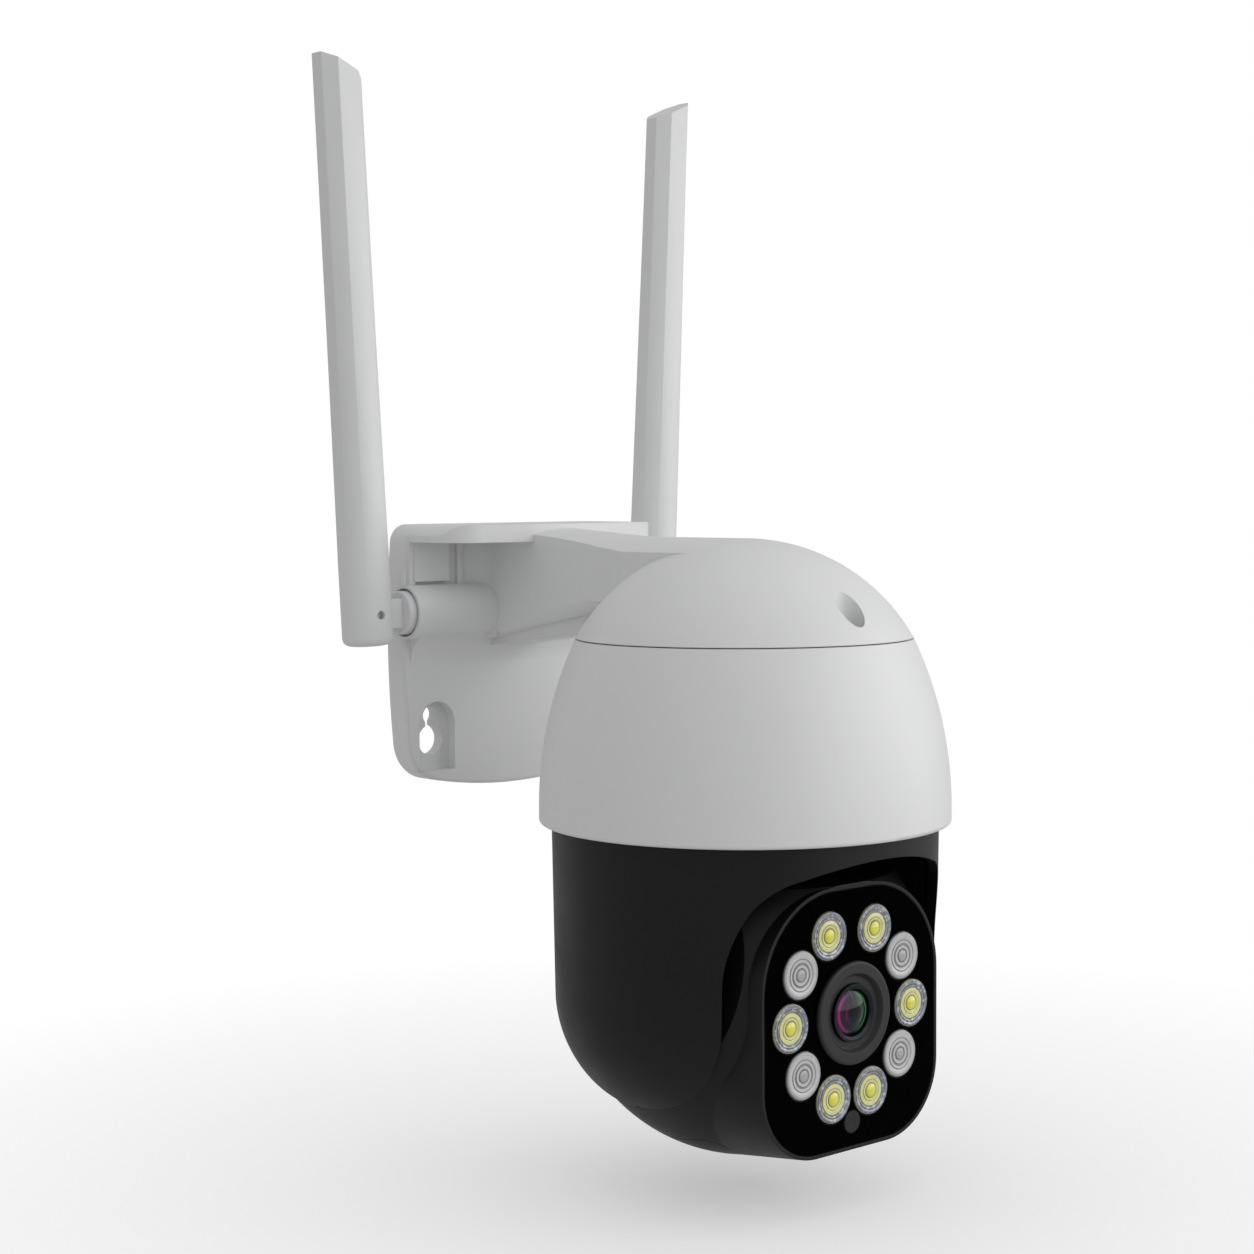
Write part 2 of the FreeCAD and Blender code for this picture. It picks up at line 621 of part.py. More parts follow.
def antenna_swivel():
    """Knuckle: a collar and stem that turn in the socket, and a tongue for the hinge."""
    y, z = ANTENNA_Y, ANTENNA_Z
    collar = cylinder(6.2, (-43.2, y, z), (-38.9, y, z))
    edges = [e for e in collar.Edges if e.BoundBox.XMax < -43.1]
    collar = collar.makeFillet(0.6, edges)
    stem = cylinder(STEM_RADIUS, (-39, y, z), (-28.0, y, z))
    t = TONGUE_HALF_THICKNESS
    neck = box((-HINGE_X, y - t, z - 4.2), (-42, y + t, z + 4.2))
    eye = cylinder(4.2, (-HINGE_X, y - t, z), (-HINGE_X, y + t, z))
    knuckle = collar.fuse([stem, neck, eye])
    knuckle = knuckle.cut(cylinder(HINGE_PIN_RADIUS + RUNNING_GAP, (-HINGE_X, y - 5, z),
                                   (-HINGE_X, y + 5, z)))
    return one_solid(knuckle.cut(cylinder(1.4, (-48.5, y, z), (-20, y, z))))


def swivel_nut():
    y, z = ANTENNA_Y, ANTENNA_Z
    corners = [V(0, 5.9 * math.cos(math.radians(60 * i)), 5.9 * math.sin(math.radians(60 * i)))
               for i in range(7)]
    nut = Part.Face(Part.makePolygon(corners)).extrude(V(3.4, 0, 0))
    nut.translate(V(-32.7, y, z))
    return nut.cut(cylinder(STEM_RADIUS + 0.01, (-40, y, z), (-20, y, z)))


def corner_ring():
    """The tip's eight corners, anticlockwise."""
    quarter = list(BLADE_TIP_CORNERS)
    half = quarter + [(-x, y) for x, y in reversed(quarter)]
    return half + [(-x, -y) for x, y in half]


def tip_wire(z):
    points = [V(x, y, z) for x, y in corner_ring()]
    return Part.makePolygon(points + points[:1])


def round_wire(radius, z):
    """A circle in eight arcs that start in the directions of the tip's corners."""
    angles = [math.atan2(y, x) % (2 * math.pi) for x, y in corner_ring()]
    angles.append(angles[0] + 2 * math.pi)
    arcs = []
    for a, b in zip(angles, angles[1:]):
        ends = [V(radius * math.cos(t), radius * math.sin(t), z) for t in (a, (a + b) / 2, b)]
        arcs.append(Part.Arc(*ends).toShape())
    return Part.Wire(arcs)


def place_blade(shape):
    """From the hinge's own frame to the leaning rest pose."""
    shape.rotate(V(0, 0, 0), Y_AXIS, -LEAN)
    shape.translate(V(-HINGE_X, ANTENNA_Y, ANTENNA_Z))
    return shape


def antenna_blade():
    """Blade: a round forked foot that turns eight-sided towards a slanted tip."""
    foot = cylinder(BLADE_BASE_RADIUS, (0, 0, BLADE_BOTTOM), (0, 0, BLADE_ROUND_TOP))
    foot = foot.makeFillet(2.2, [e for e in foot.Edges if e.BoundBox.ZMax < BLADE_BOTTOM + 0.01])
    shaft = Part.makeLoft([round_wire(BLADE_BASE_RADIUS, BLADE_ROUND_TOP), tip_wire(BLADE_TOP + 1)],
                          True, True)
    slant = math.tan(math.radians(27))
    over = outline((-10, -20, BLADE_TOP + 3.5 * slant), ((10, -20, BLADE_TOP - 16.5 * slant),),
                   ((10, -20, BLADE_TOP + 30),), ((-10, -20, BLADE_TOP + 30),)).extrude(V(0, 40, 0))
    shaft = shaft.cut(over).fuse(foot)
    slot_half = TONGUE_HALF_THICKNESS + 0.35
    slot = cylinder(4.7, (0, -slot_half, 0), (0, slot_half, 0))
    slot = slot.fuse([box((0, -slot_half, -20), (20, slot_half, 4.7)),
                      box((-4.7, -slot_half, -20), (5, slot_half, 0))])
    behind = box((-20, 0, BLADE_BOTTOM - 1), (20, 12, 0))
    inner = box((0, -12, BLADE_BOTTOM - 1), (12, 12, 0))
    cuts = [slot, behind.cut(cylinder(9.1, (-25, 0, 0), (25, 0, 0))),
            inner.cut(cylinder(9.9, (0, -25, 0), (0, 25, 0))),
            cylinder(HINGE_PIN_RADIUS + 0.02, (0, -12, 0), (0, 12, 0))]
    for cut in cuts:
        shaft = shaft.cut(cut)
    return place_blade(one_solid(shaft))


def hinge_pin():
    return place_blade(cylinder(HINGE_PIN_RADIUS, (0, -5.9, 0), (0, 5.9, 0)))


# ---------------------------------------------------------------- pan housing

def opening_arch(y):
    """Arched outline of the housing's front opening, long enough to run out below."""
    w = OPENING_HALF_WIDTH
    return outline((-w, y, -95), ((-w, y, -36),), ((-38.2, y, -25), (-34.9, y, -16.2)),
                   ((-30.6, y, -11.4), (-24.0, y, -8.4)), ((0, y, -4.7), (24.0, y, -8.4)),
                   ((30.6, y, -11.4), (34.9, y, -16.2)), ((38.2, y, -25), (w, y, -36)),
                   ((w, y, -95),))


def cavity(clearance):
    """The housing's inside: a bore above the tilt axis and half a ball below it."""
    radius = HOUSING_BORE - clearance
    bore = cylinder(radius, (0, 0, TILT_Z), (0, 0, -1.0 - clearance))
    return bore.fuse(Part.makeSphere(radius, V(0, 0, TILT_Z)).common(
        box((-60, -60, -120), (60, 60, TILT_Z))))


def pan_housing():
    """Black turning shell with its front opening, its round mouth and a slot behind."""
    corner_r = HOUSING_LOW_RADIUS - HOUSING_CORNER_RADIUS
    rho = HOUSING_CORNER_RADIUS
    end = math.acos((HOUSING_MOUTH_RADIUS - corner_r) / rho)
    half = end / 2

    def on_corner(angle):
        return (corner_r + rho * math.cos(angle), 0, HOUSING_SHOULDER_Z - rho * math.sin(angle))
    mouth = on_corner(end)
    solid = lathe((0, 0, HOUSING_TOP), ((HOUSING_TOP_RADIUS, 0, HOUSING_TOP),),
                  ((HOUSING_LOW_RADIUS, 0, HOUSING_SHOULDER_Z),), (on_corner(half), mouth),
                  ((0, 0, mouth[2]),))
    shell = solid.cut(cavity(0)).cut(cylinder(17.2, (0, 0, -5), (0, 0, 5)))
    front = opening_arch(-60).extrude(V(0, 60, 0))
    shell = shell.cut(front)
    w = REAR_SLOT_HALF_WIDTH
    radius = 12.0
    near = radius * (1 - math.sqrt(0.5))
    top = REAR_SLOT_TOP
    slot = outline((-w, 0, -95), ((-w, 0, top - radius),),
                   ((-w + near, 0, top - near), (-w + radius, 0, top)),
                   ((w - radius, 0, top),), ((w - near, 0, top - near), (w, 0, top - radius)),
                   ((w, 0, -95),)).extrude(V(0, 60, 0))
    shell = shell.cut(slot)
    for x, y in turntable_seats():
        shell = shell.cut(cylinder(1.32, (x, y, -3), (x, y, 1.0)))
    return one_solid(shell)


def turntable_seats():
    return [(23 * math.cos(math.radians(a)), 23 * math.sin(math.radians(a))) for a in (45, 135, 225, 315)]


def turntable():
    """Disc with the hollow spindle that hangs the turning part from the bearing."""
    shape = cylinder(30.0, (0, 0, -4.0), (0, 0, -1.0))
    shape = shape.fuse([cylinder(16.8, (0, 0, -1.5), (0, 0, 2.6)),
                        cylinder(SPINDLE_RADIUS, (0, 0, 2), (0, 0, 15.6))])
    shape = shape.cut(cylinder(5.0, (0, 0, -6), (0, 0, 20)))
    for x, y in turntable_seats():
        shape = shape.cut(cylinder(1.35, (x, y, -5), (x, y, 0)))
    return one_solid(shape)


def turntable_screws():
    return group(screw(2.3, 1.4, 1.3, 4.9, (x, y, -4.0), V(0, 0, 1)) for x, y in turntable_seats())


def pan_gear():
    shape = gear(PAN_GEAR_TEETH, PAN_MODULE, 4.0, SPINDLE_RADIUS + 0.02)
    for i in range(6):
        a = math.radians(60 * i + 30)
        shape = shape.cut(cylinder(3.6, (15.5 * math.cos(a), 15.5 * math.sin(a), -1),
                                   (15.5 * math.cos(a), 15.5 * math.sin(a), 6)))
    shape.translate(V(0, 0, 2.7))
    return one_solid(shape)


def spindle_clip():
    ring = tube(10.6, SPINDLE_RADIUS + 0.02, (0, 0, 13.9), (0, 0, 15.1))
    return one_solid(ring.cut(box((-1.5, -12, 13), (1.5, -4, 16))))


def cheek_plate(drive_side):
    """Flat inner wall that closes a cheek and holds a tilt bush; drawn at +X."""
    plate = cavity(0.15).common(box((CHEEK_INNER, -60, -90), (CHEEK_OUTER, 60, -2)))
    plate = plate.cut(cylinder(6.0, (30, 0, TILT_Z), (60, 0, TILT_Z)))
    if drive_side:
        plate = plate.cut(cylinder(5.2, (30, TILT_PINION_Y, tilt_pinion_z()),
                                   (60, TILT_PINION_Y, tilt_pinion_z())))
    return one_solid(plate)


def tilt_bush():
    return tube(6.0, TRUNNION_RADIUS + RUNNING_GAP, (CHEEK_INNER - 0.2, 0, TILT_Z),
                (CHEEK_OUTER + 0.3, 0, TILT_Z))


def tilt_pinion_z():
    """Height of the pinion's axis, at the gears' centre distance from the tilt axis."""
    centres = TILT_MODULE * (TILT_GEAR_TEETH + TILT_PINION_TEETH) / 2
    return TILT_Z + math.sqrt(centres ** 2 - TILT_PINION_Y ** 2)


def tilt_motor():
    """Small stepper can on the inner side of the right cheek plate."""
    y, z = TILT_PINION_Y, tilt_pinion_z()
    can = cylinder(8.6, (25.0, y, z), (CHEEK_INNER, y, z))
    edges = [e for e in can.Edges if e.BoundBox.XMax < 25.1]
    can = can.makeFillet(0.8, edges)
    return one_solid(can.cut(cylinder(1.5 + RUNNING_GAP, (37.0, y, z), (45, y, z))))


def about_tilt_gear_axis(shape, x, y, z, turn):
    """Turn a gear drawn about +Z so that its axis is +X and place it."""
    shape.rotate(V(0, 0, 0), Z_AXIS, turn)
    shape.rotate(V(0, 0, 0), Y_AXIS, 90)
    shape.translate(V(x, y, z))
    return shape


def mesh_direction():
    """Angle, in the gears' own plane, from the tilt gear to its pinion."""
    rise = tilt_pinion_z() - TILT_Z
    return math.degrees(math.atan2(TILT_PINION_Y, -rise))


def tilt_gear():
    shape = gear(TILT_GEAR_TEETH, TILT_MODULE, 2.2, TRUNNION_RADIUS + 0.02)
    return about_tilt_gear_axis(shape, 42.1, 0, TILT_Z, mesh_direction())


def tilt_pinion():
    shape = gear(TILT_PINION_TEETH, TILT_MODULE, 2.0, 0.5)
    shape = shape.fuse(cylinder(1.5, (0, 0, -5.0), (0, 0, 2.0)))
    turn = mesh_direction() + 180.0 + 180.0 / TILT_PINION_TEETH
    return one_solid(about_tilt_gear_axis(shape, 42.2, TILT_PINION_Y, tilt_pinion_z(), turn))


# ---------------------------------------------------------------- tilting head

def face_outline(inset, y, grow=0.0, drop=0.0, rise=0.0, chin_grow=0.0):
    """Rounded-square outline of the face, moved in by inset or grown for the head's taper."""
    w = FACE_HALF_WIDTH - inset + grow
    top = FACE_TOP - inset + rise
    low = FACE_BOTTOM + inset - drop
    rt = FACE_TOP_CORNER - inset + grow
    rb = FACE_BOTTOM_CORNER - inset + chin_grow
    k = 1 - math.sqrt(0.5)
    return outline((-w + rt, y, top), ((-w + k * rt, y, top - k * rt), (-w, y, top - rt)),
                   ((-w, y, low + rb),), ((-w + k * rb, y, low + k * rb), (-w + rb, y, low)),
                   ((w - rb, y, low),), ((w - k * rb, y, low + k * rb), (w, y, low + rb)),
                   ((w, y, top - rt),), ((w - k * rt, y, top - k * rt), (w - rt, y, top)))


def side_block(inset):
    """Block between the head's two drafted sides, wider towards the bottom and the back."""
    def half(y, z):
        return SIDE_AT_TOP + SIDE_DRAFT_BACK * y - SIDE_DRAFT_DOWN * z - inset
    quads = []
    for y in (-60.0, 60.0):
        quads.append(Part.makePolygon([V(-half(y, 0), y, 0), V(half(y, 0), y, 0), V(half(y, -95), y, -95),
                                       V(-half(y, -95), y, -95), V(-half(y, 0), y, 0)]))
    return Part.makeLoft(quads, True, True)


def head_form(inset):
    """The head's full outer form, moved in by inset: a ball with the face's tube run into it."""
    ball = Part.makeSphere(BALL_RADIUS - inset, V(0, 0, TILT_Z))
    drop = CHIN_SLOPE * (TAPER_END_Y - FACE_Y)
    back = face_outline(inset, TAPER_END_Y, SIDE_GROW, drop, TOP_RISE, CHIN_CORNER_GROW)
    taper = Part.makeLoft([face_outline(inset, FACE_Y).OuterWire, back.OuterWire], True, True)
    form = ball.fuse(taper)
    form = form.common(side_block(inset))
    w = HEAD_HALF_WIDTH - inset
    return form.common(box((-w, FACE_Y, -120), (w, 60, FACE_TOP + 0.4 - inset)))


def body_region(inset):
    """The closed body's region in side view, moved in by inset.

    It lies in front of an upright plane above the tilt axis and, below the axis, in front
    of a plane through the axis at BODY_END_ANGLE, measured from the front downwards.
    """
    a = math.radians(BODY_END_ANGLE)
    along = V(0, -math.cos(a), -math.sin(a))
    inward = V(0, -math.sin(a), math.cos(a))
    start_y = BODY_BACK_Y - inset
    foot = V(-50, 0, TILT_Z) + inward * inset
    corner = foot + along * ((start_y - foot.y) / along.y)
    end = foot + along * 80
    face = outline((-50, -70, 5), ((-50, start_y, 5),), (tuple(corner),), (tuple(end),),
                   ((-50, -70, end.z),))
    return face.extrude(V(100, 0, 0))


def skirt():
    """Thin ball-shaped skirt behind the body that keeps the housing's mouth closed."""
    ball = Part.makeSphere(BALL_RADIUS, V(0, 0, TILT_Z)).cut(
        Part.makeSphere(BALL_RADIUS - HEAD_WALL, V(0, 0, TILT_Z)))
    w = SKIRT_HALF_WIDTH
    reach = 70.0
    a = math.radians(BODY_END_ANGLE - 4)
    b = math.radians(SKIRT_END_ANGLE)
    wedge = outline((-w, 0, TILT_Z), ((-w, -reach * math.cos(a), TILT_Z - reach * math.sin(a)),),
                    ((-w, reach, TILT_Z - reach),),
                    ((-w, -reach * math.cos(b), TILT_Z - reach * math.sin(b)),))
    return ball.common(wedge.extrude(V(2 * w, 0, 0))).common(side_block(0))


def hatch_prism(margin):
    return rounded_slab(HATCH_HALF_X + margin, HATCH_FRONT - margin, HATCH_BACK + margin,
                        HATCH_CORNER + margin, -100, -70)


def trunnion_ear():
    """Round of side wall about the tilt axis, drawn at +X."""
    ear = cylinder(8.0, (25, 0, TILT_Z), (45, 0, TILT_Z))
    return ear.common(side_block(0)).cut(side_block(HEAD_WALL))


def head_shell():
    """Black head moulding: closed body, rear skirt, face recess and hatch opening."""
    outer = head_form(0)
    inner = head_form(HEAD_WALL)
    hollow = inner.common(body_region(HEAD_WALL))
    hollow = hollow.common(box((-60, FACE_Y + PANEL_THICKNESS + 2.2, -120), (60, 60, 20)))
    shell = outer.common(body_region(0)).cut(hollow)
    shell = shell.fuse([skirt(), trunnion_ear(), mirrored(trunnion_ear())])
    shell = shell.cut(face_outline(0.9, FACE_Y - 1).extrude(V(0, 1 + PANEL_THICKNESS, 0)))
    shell = shell.cut(face_outline(3.4, FACE_Y).extrude(V(0, 12, 0)))
    ledge = hatch_prism(2.4).cut(hatch_prism(-4.0)).common(inner.cut(head_form(HEAD_WALL + 1.3)))
    shell = shell.fuse(ledge.common(body_region(HEAD_WALL)))
    shell = shell.cut(hatch_prism(HATCH_GAP).common(outer.cut(inner)))
    for x in (-HATCH_SCREW_X, HATCH_SCREW_X):
        shell = shell.cut(cylinder(1.02, (x, HATCH_SCREW_Y, -92), (x, HATCH_SCREW_Y, -78)))
    return one_solid(shell.cut(cylinder(TRUNNION_RADIUS + 0.02, (-45, 0, TILT_Z), (45, 0, TILT_Z)).cut(
        box((-30, -10, TILT_Z - 10), (30, 10, TILT_Z + 10)))))


def hatch_cover():
    """Cover under the head over the card slot and reset button, flush with the shell."""
    cover = hatch_prism(0).common(head_form(0).cut(head_form(HEAD_WALL)))
    for x in (-HATCH_SCREW_X, HATCH_SCREW_X):
        cover = cover.cut(cylinder(2.2, (x, HATCH_SCREW_Y, -95), (x, HATCH_SCREW_Y, HATCH_SCREW_SEAT_Z)))
        cover = cover.cut(cylinder(1.15, (x, HATCH_SCREW_Y, -92), (x, HATCH_SCREW_Y, -70)))
    return one_solid(cover)


def hatch_screws():
    return group(screw(2.0, 0.8, 1.0, 3.0, (x, HATCH_SCREW_Y, HATCH_SCREW_SEAT_Z), V(0, 0, 1))
                 for x in (-HATCH_SCREW_X, HATCH_SCREW_X))


def led_centres(angles):
    """Centres of lamps on the ring; angles are from the top, on both sides."""
    for sign in (-1, 1):
        for angle in angles:
            a = math.radians(angle)
            yield sign * LED_RING_RADIUS * math.sin(a), LENS_Z + LED_RING_RADIUS * math.cos(a)


def face_panel():
    panel = face_outline(1.0, FACE_Y).extrude(V(0, PANEL_THICKNESS - 0.1, 0))
    for x, z in led_centres(WHITE_LED_ANGLES + INFRARED_LED_ANGLES):
        panel = panel.cut(cylinder(LED_RADIUS + 0.1, (x, -45, z), (x, -30, z)))
    panel = panel.cut(cylinder(12.2, (0, -45, LENS_Z), (0, -30, LENS_Z)))
    return one_solid(panel.cut(cylinder(2.95, (0, -45, SENSOR_DOT_Z), (0, -30, SENSOR_DOT_Z))))


def panel_seal():
    ring = face_outline(1.3, FACE_Y + PANEL_THICKNESS - 0.1).cut(
        face_outline(3.0, FACE_Y + PANEL_THICKNESS - 0.1))
    return ring.extrude(V(0, 0.1, 0))


def led_lens(x, z):
    """Moulded lens: a drum with a shallow crowned front and a dished middle."""
    front = FACE_Y - 0.35
    drum = cylinder(LED_RADIUS, (x, front, z), (x, -35.4, z))
    edges = [e for e in drum.Edges if e.BoundBox.YMax < front + 0.01]
    drum = drum.makeChamfer(0.45, edges)
    return drum.cut(cylinder(2.6, (x, -37.0, z), (x, -30, z)))


def white_led_lenses():
    return group(led_lens(x, z) for x, z in led_centres(WHITE_LED_ANGLES))


def infrared_led_lenses():
    return group(led_lens(x, z) for x, z in led_centres(INFRARED_LED_ANGLES))


def led_chips():
    chips = []
    for x, z in led_centres(WHITE_LED_ANGLES + INFRARED_LED_ANGLES):
        base = box((x - 1.7, -35.2, z - 1.7), (x + 1.7, LED_BOARD_FRONT, z + 1.7))
        chips.append(base.fuse(cylinder(1.3, (x, -36.2, z), (x, -35.1, z))))
    return group(chips)


def led_board():
    board = face_outline(3.9, LED_BOARD_FRONT).extrude(V(0, 1.2, 0))
    board = board.cut(cylinder(8.4, (0, -45, LENS_Z), (0, -20, LENS_Z)))
    return one_solid(board)


def lens_ring():
    """Dark bezel round the lens: a flat collar that steps down to the barrel."""
    front = FACE_Y - 1.3
    ring = cylinder(13.4, (0, front, LENS_Z), (0, FACE_Y - 0.05, LENS_Z))
    edges = [e for e in ring.Edges if e.BoundBox.YMax < front + 0.01]
    ring = ring.makeFillet(0.8, edges)
    ring = ring.fuse(cylinder(12.1, (0, FACE_Y - 0.5, LENS_Z), (0, -34.2, LENS_Z)))
    ring = ring.cut(Part.makeCone(10.3, 9.4, 1.3, V(0, front, LENS_Z), Y_AXIS))
    return one_solid(ring.cut(cylinder(7.6, (0, -45, LENS_Z), (0, -30, LENS_Z))))


def lens_barrel():
    """Threaded lens barrel with a stepped mouth round the front glass."""
    y = FACE_Y - 0.9
    barrel = cylinder(7.5, (0, y, LENS_Z), (0, -33.0, LENS_Z))
    barrel = barrel.fuse(cylinder(6.0, (0, -34, LENS_Z), (0, -21.5, LENS_Z)))
    barrel = barrel.cut(Part.makeCone(6.9, GLASS_RADIUS + 0.05, 0.5, V(0, y, LENS_Z), Y_AXIS))
    return one_solid(barrel.cut(cylinder(GLASS_RADIUS + 0.05, (0, -45, LENS_Z), (0, -34.0, LENS_Z))))


def lens_glass():
    """Front element: a domed disc."""
    y = FACE_Y - 1.1
    bulge = 12.5
    dome = Part.makeSphere(bulge, V(0, y + bulge, LENS_Z))
    return dome.common(cylinder(GLASS_RADIUS, (0, -45, LENS_Z), (0, -34.2, LENS_Z)))


def lens_holder():
    body = box((-8, -31.6, LENS_Z - 8), (8, -19.6, LENS_Z + 8))
    return one_solid(body.cut(cylinder(6.02, (0, -40, LENS_Z), (0, -10, LENS_Z))))


def sensor_board():
    board = box((-13, -19.5, LENS_Z - 12), (13, -18.3, LENS_Z + 12))
    return one_solid(board.fuse(box((-4, -20.6, LENS_Z - 4), (4, -19.4, LENS_Z + 4))))


def sensor_standoffs():
    """Pillars that carry the sensor board behind the lamp board."""
    low = LED_BOARD_FRONT + 1.2
    return group(tube(1.8, 0.8, (x, low, LENS_Z + z), (x, -19.5, LENS_Z + z))
                 for x in (-10.6, 10.6) for z in (-9.8, 9.8))


def light_sensor():
    window = cylinder(2.85, (0, FACE_Y - 0.05, SENSOR_DOT_Z), (0, -35.8, SENSOR_DOT_Z))
    return window.fuse(cylinder(1.6, (0, -35.9, SENSOR_DOT_Z), (0, LED_BOARD_FRONT, SENSOR_DOT_Z)))


def trunnion(end_x):
    """Hollow stub axle with a flange against the head's side, drawn at +X."""
    pin = cylinder(TRUNNION_RADIUS, (34.5, 0, TILT_Z), (end_x, 0, TILT_Z))
    flange = cylinder(6.5, (34, 0, TILT_Z), (38.4, 0, TILT_Z)).cut(side_block(0))
    return one_solid(pin.fuse(flange).cut(cylinder(2.2, (25, 0, TILT_Z), (50, 0, TILT_Z))))


def card_board():
    y, z = CARD_BOARD_Y, CARD_BOARD_Z
    return box((-14, y, z), (14, y + 22, z + 1.2))


def card_socket():
    y, z = CARD_BOARD_Y, CARD_BOARD_Z
    body = box((-12.5, y + 0.5, z - 1.9), (1.5, y + 15, z))
    return one_solid(body.cut(box((-11.0, y - 1, z - 1.4), (0.2, y + 13.8, z - 0.3))))


def memory_card():
    y, z = CARD_BOARD_Y, CARD_BOARD_Z
    return box((-10.9, y - 1, z - 1.35), (0.1, y + 13.75, z - 0.35))


def reset_switch():
    x, y, z = RESET_X, RESET_Y, CARD_BOARD_Z
    body = box((x - 3, y - 3, z - 3.0), (x + 3, y + 3, z))
    return body.cut(cylinder(1.55, (x, y, z - 4), (x, y, z - 1.0)))


def reset_button():
    x, y, z = RESET_X, RESET_Y, CARD_BOARD_Z
    return cylinder(1.5, (x, y, z - 4.2), (x, y, z - 1.0 - RESET_TRAVEL))


# ---------------------------------------------------------------- writing

def main():
    os.makedirs("parts", exist_ok=True)
    single = [wall_bracket, dome_shell, seam_seal, chassis, pan_motor, pan_pinion, pan_bearing,
              main_board, board_parts, wifi_module, chassis_screws, board_screws, front_cap_screw,
              rear_cap_screws, cable_grommet, wall_gasket, pan_housing, turntable,
              turntable_screws, pan_gear, spindle_clip, tilt_motor, tilt_gear, tilt_pinion,
              head_shell, hatch_cover, hatch_screws, face_panel, panel_seal, white_led_lenses,
              infrared_led_lenses, led_chips, led_board, lens_ring, lens_barrel, lens_glass,
              lens_holder, sensor_board, sensor_standoffs, light_sensor, card_board,
              card_socket, memory_card, reset_switch, reset_button]
    for make in single:
        write_node(make.__name__, make())
    for make in (antenna_swivel, swivel_nut, antenna_blade, hinge_pin):
        left = make()
        write_node(make.__name__ + "_left", left)
        write_node(make.__name__ + "_right", mirrored(left))
    bush = tilt_bush()
    write_node("tilt_bush_right", bush)
    write_node("tilt_bush_left", mirrored(bush))
    write_node("cheek_plate_right", cheek_plate(True))
    write_node("cheek_plate_left", mirrored(cheek_plate(False)))
    write_node("trunnion_right", trunnion(44.5))
    write_node("trunnion_left", mirrored(trunnion(42.6)))


main()
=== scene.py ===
"""Looks of the wall-mounted pan and tilt security camera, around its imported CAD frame."""
import json
import math

import bpy
from mathutils import Matrix, Vector

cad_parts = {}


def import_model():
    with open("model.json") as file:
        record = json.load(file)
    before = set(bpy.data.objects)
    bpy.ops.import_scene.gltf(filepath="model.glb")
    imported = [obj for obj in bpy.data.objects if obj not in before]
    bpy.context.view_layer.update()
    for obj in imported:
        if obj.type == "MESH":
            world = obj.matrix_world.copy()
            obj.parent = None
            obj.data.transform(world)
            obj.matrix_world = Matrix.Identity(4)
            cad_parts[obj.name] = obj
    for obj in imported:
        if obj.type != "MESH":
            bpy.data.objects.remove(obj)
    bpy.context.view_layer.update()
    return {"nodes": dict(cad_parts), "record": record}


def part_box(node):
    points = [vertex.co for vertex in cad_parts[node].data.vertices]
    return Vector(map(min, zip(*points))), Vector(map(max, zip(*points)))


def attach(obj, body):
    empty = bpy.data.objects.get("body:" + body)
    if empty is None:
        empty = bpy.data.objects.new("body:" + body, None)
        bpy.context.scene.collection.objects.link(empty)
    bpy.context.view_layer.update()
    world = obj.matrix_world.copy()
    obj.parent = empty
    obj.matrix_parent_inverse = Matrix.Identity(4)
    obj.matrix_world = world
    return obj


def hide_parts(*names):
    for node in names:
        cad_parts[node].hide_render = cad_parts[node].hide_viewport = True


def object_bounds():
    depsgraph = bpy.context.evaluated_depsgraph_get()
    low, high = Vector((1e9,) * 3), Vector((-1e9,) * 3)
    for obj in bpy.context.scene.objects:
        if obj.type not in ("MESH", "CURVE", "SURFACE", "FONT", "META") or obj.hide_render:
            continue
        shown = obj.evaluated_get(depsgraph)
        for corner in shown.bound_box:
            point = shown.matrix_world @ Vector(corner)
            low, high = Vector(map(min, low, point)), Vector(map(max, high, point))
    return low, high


MM = 0.001

# Studio
CAMERA_PLACE = Vector((-442.9, -559.3, 65.7)) * MM
CAMERA_HEADING = math.radians(48.48)
CAMERA_PITCH = math.radians(-3.34)
CAMERA_ROLL = math.radians(-0.33)
CAMERA_LENS_MM = 68.4
CAMERA_SENSOR_MM = 36.0
CAMERA_CLIP = (0.01, 50.0)
# Softboxes: degrees to the viewer's right, distance, height, width, length in metres, watts
KEY_LIGHT = (60, 0.9, 0.2, 0.8, 0.9, 2.8)
SIDE_LIGHT = (100, 0.9, 0.15, 0.6, 0.9, 2.3)
OVERHEAD_HEIGHT = 1.3
OVERHEAD_SIZE = 1.8
OVERHEAD_WATTS = 2.8
WORLD_LIGHT = 0.5       # the world as a light; the camera sees it at 1
FLOOR_BELOW = 9.5 * MM  # under the lowest point of the object
FLOOR_HALF_SIZE = 12.0
FLOOR_FAR = 0.32        # from the object's axis to where the paper is plain white
FLOOR_GLOW = 0.38       # share of plain white right under the object
FLOOR_LIGHT = 0.42      # what the plain white gives the object as light

# Lens
GLASS_RADIUS_MM = 6.05
GLASS_RADIUS = GLASS_RADIUS_MM * MM
GLASS_BULGE_MM = 12.5   # radius of the front element's curve

# Texture scales, in waves per metre
MOTTLE = 22.0
HAZE = 45.0
GLOSS = 60.0
SCUFF_AND_HIGHLIGHT = 160.0
GLASS_GLOSS = 200.0
TRACES = 260.0
MASK_GLOSS = 300.0
PADS = 330.0
CLOUD = 420.0
POLISH = 700.0
CELLS = 900.0
GLINT_SPECKS = 900.0

# How far a softened normal leaves the true one, as a dot product: at the edge mask's 0 and 1
EDGE_STARTS = 0.995
EDGE_FULL = 0.85

# The Mix node's colour sockets share their names with its other types, so they go by number
COLOUR_A, COLOUR_B, COLOUR_OUT = 6, 7, 2

# Finishes of the lamp pieces, by material number; the recess, bevel, groove and edge finishes are
# painted shade and the pale finish a painted highlight
CLEAR, YELLOW, GAP_SHADE, CHIP, BEVEL_SHADE = range(5)
FROST, GROOVE_SHADE, EDGE_SHADE, PALE_HIGHLIGHT = range(4)
GLASS, RIM = range(2)


# ---------------------------------------------------------------- node helpers

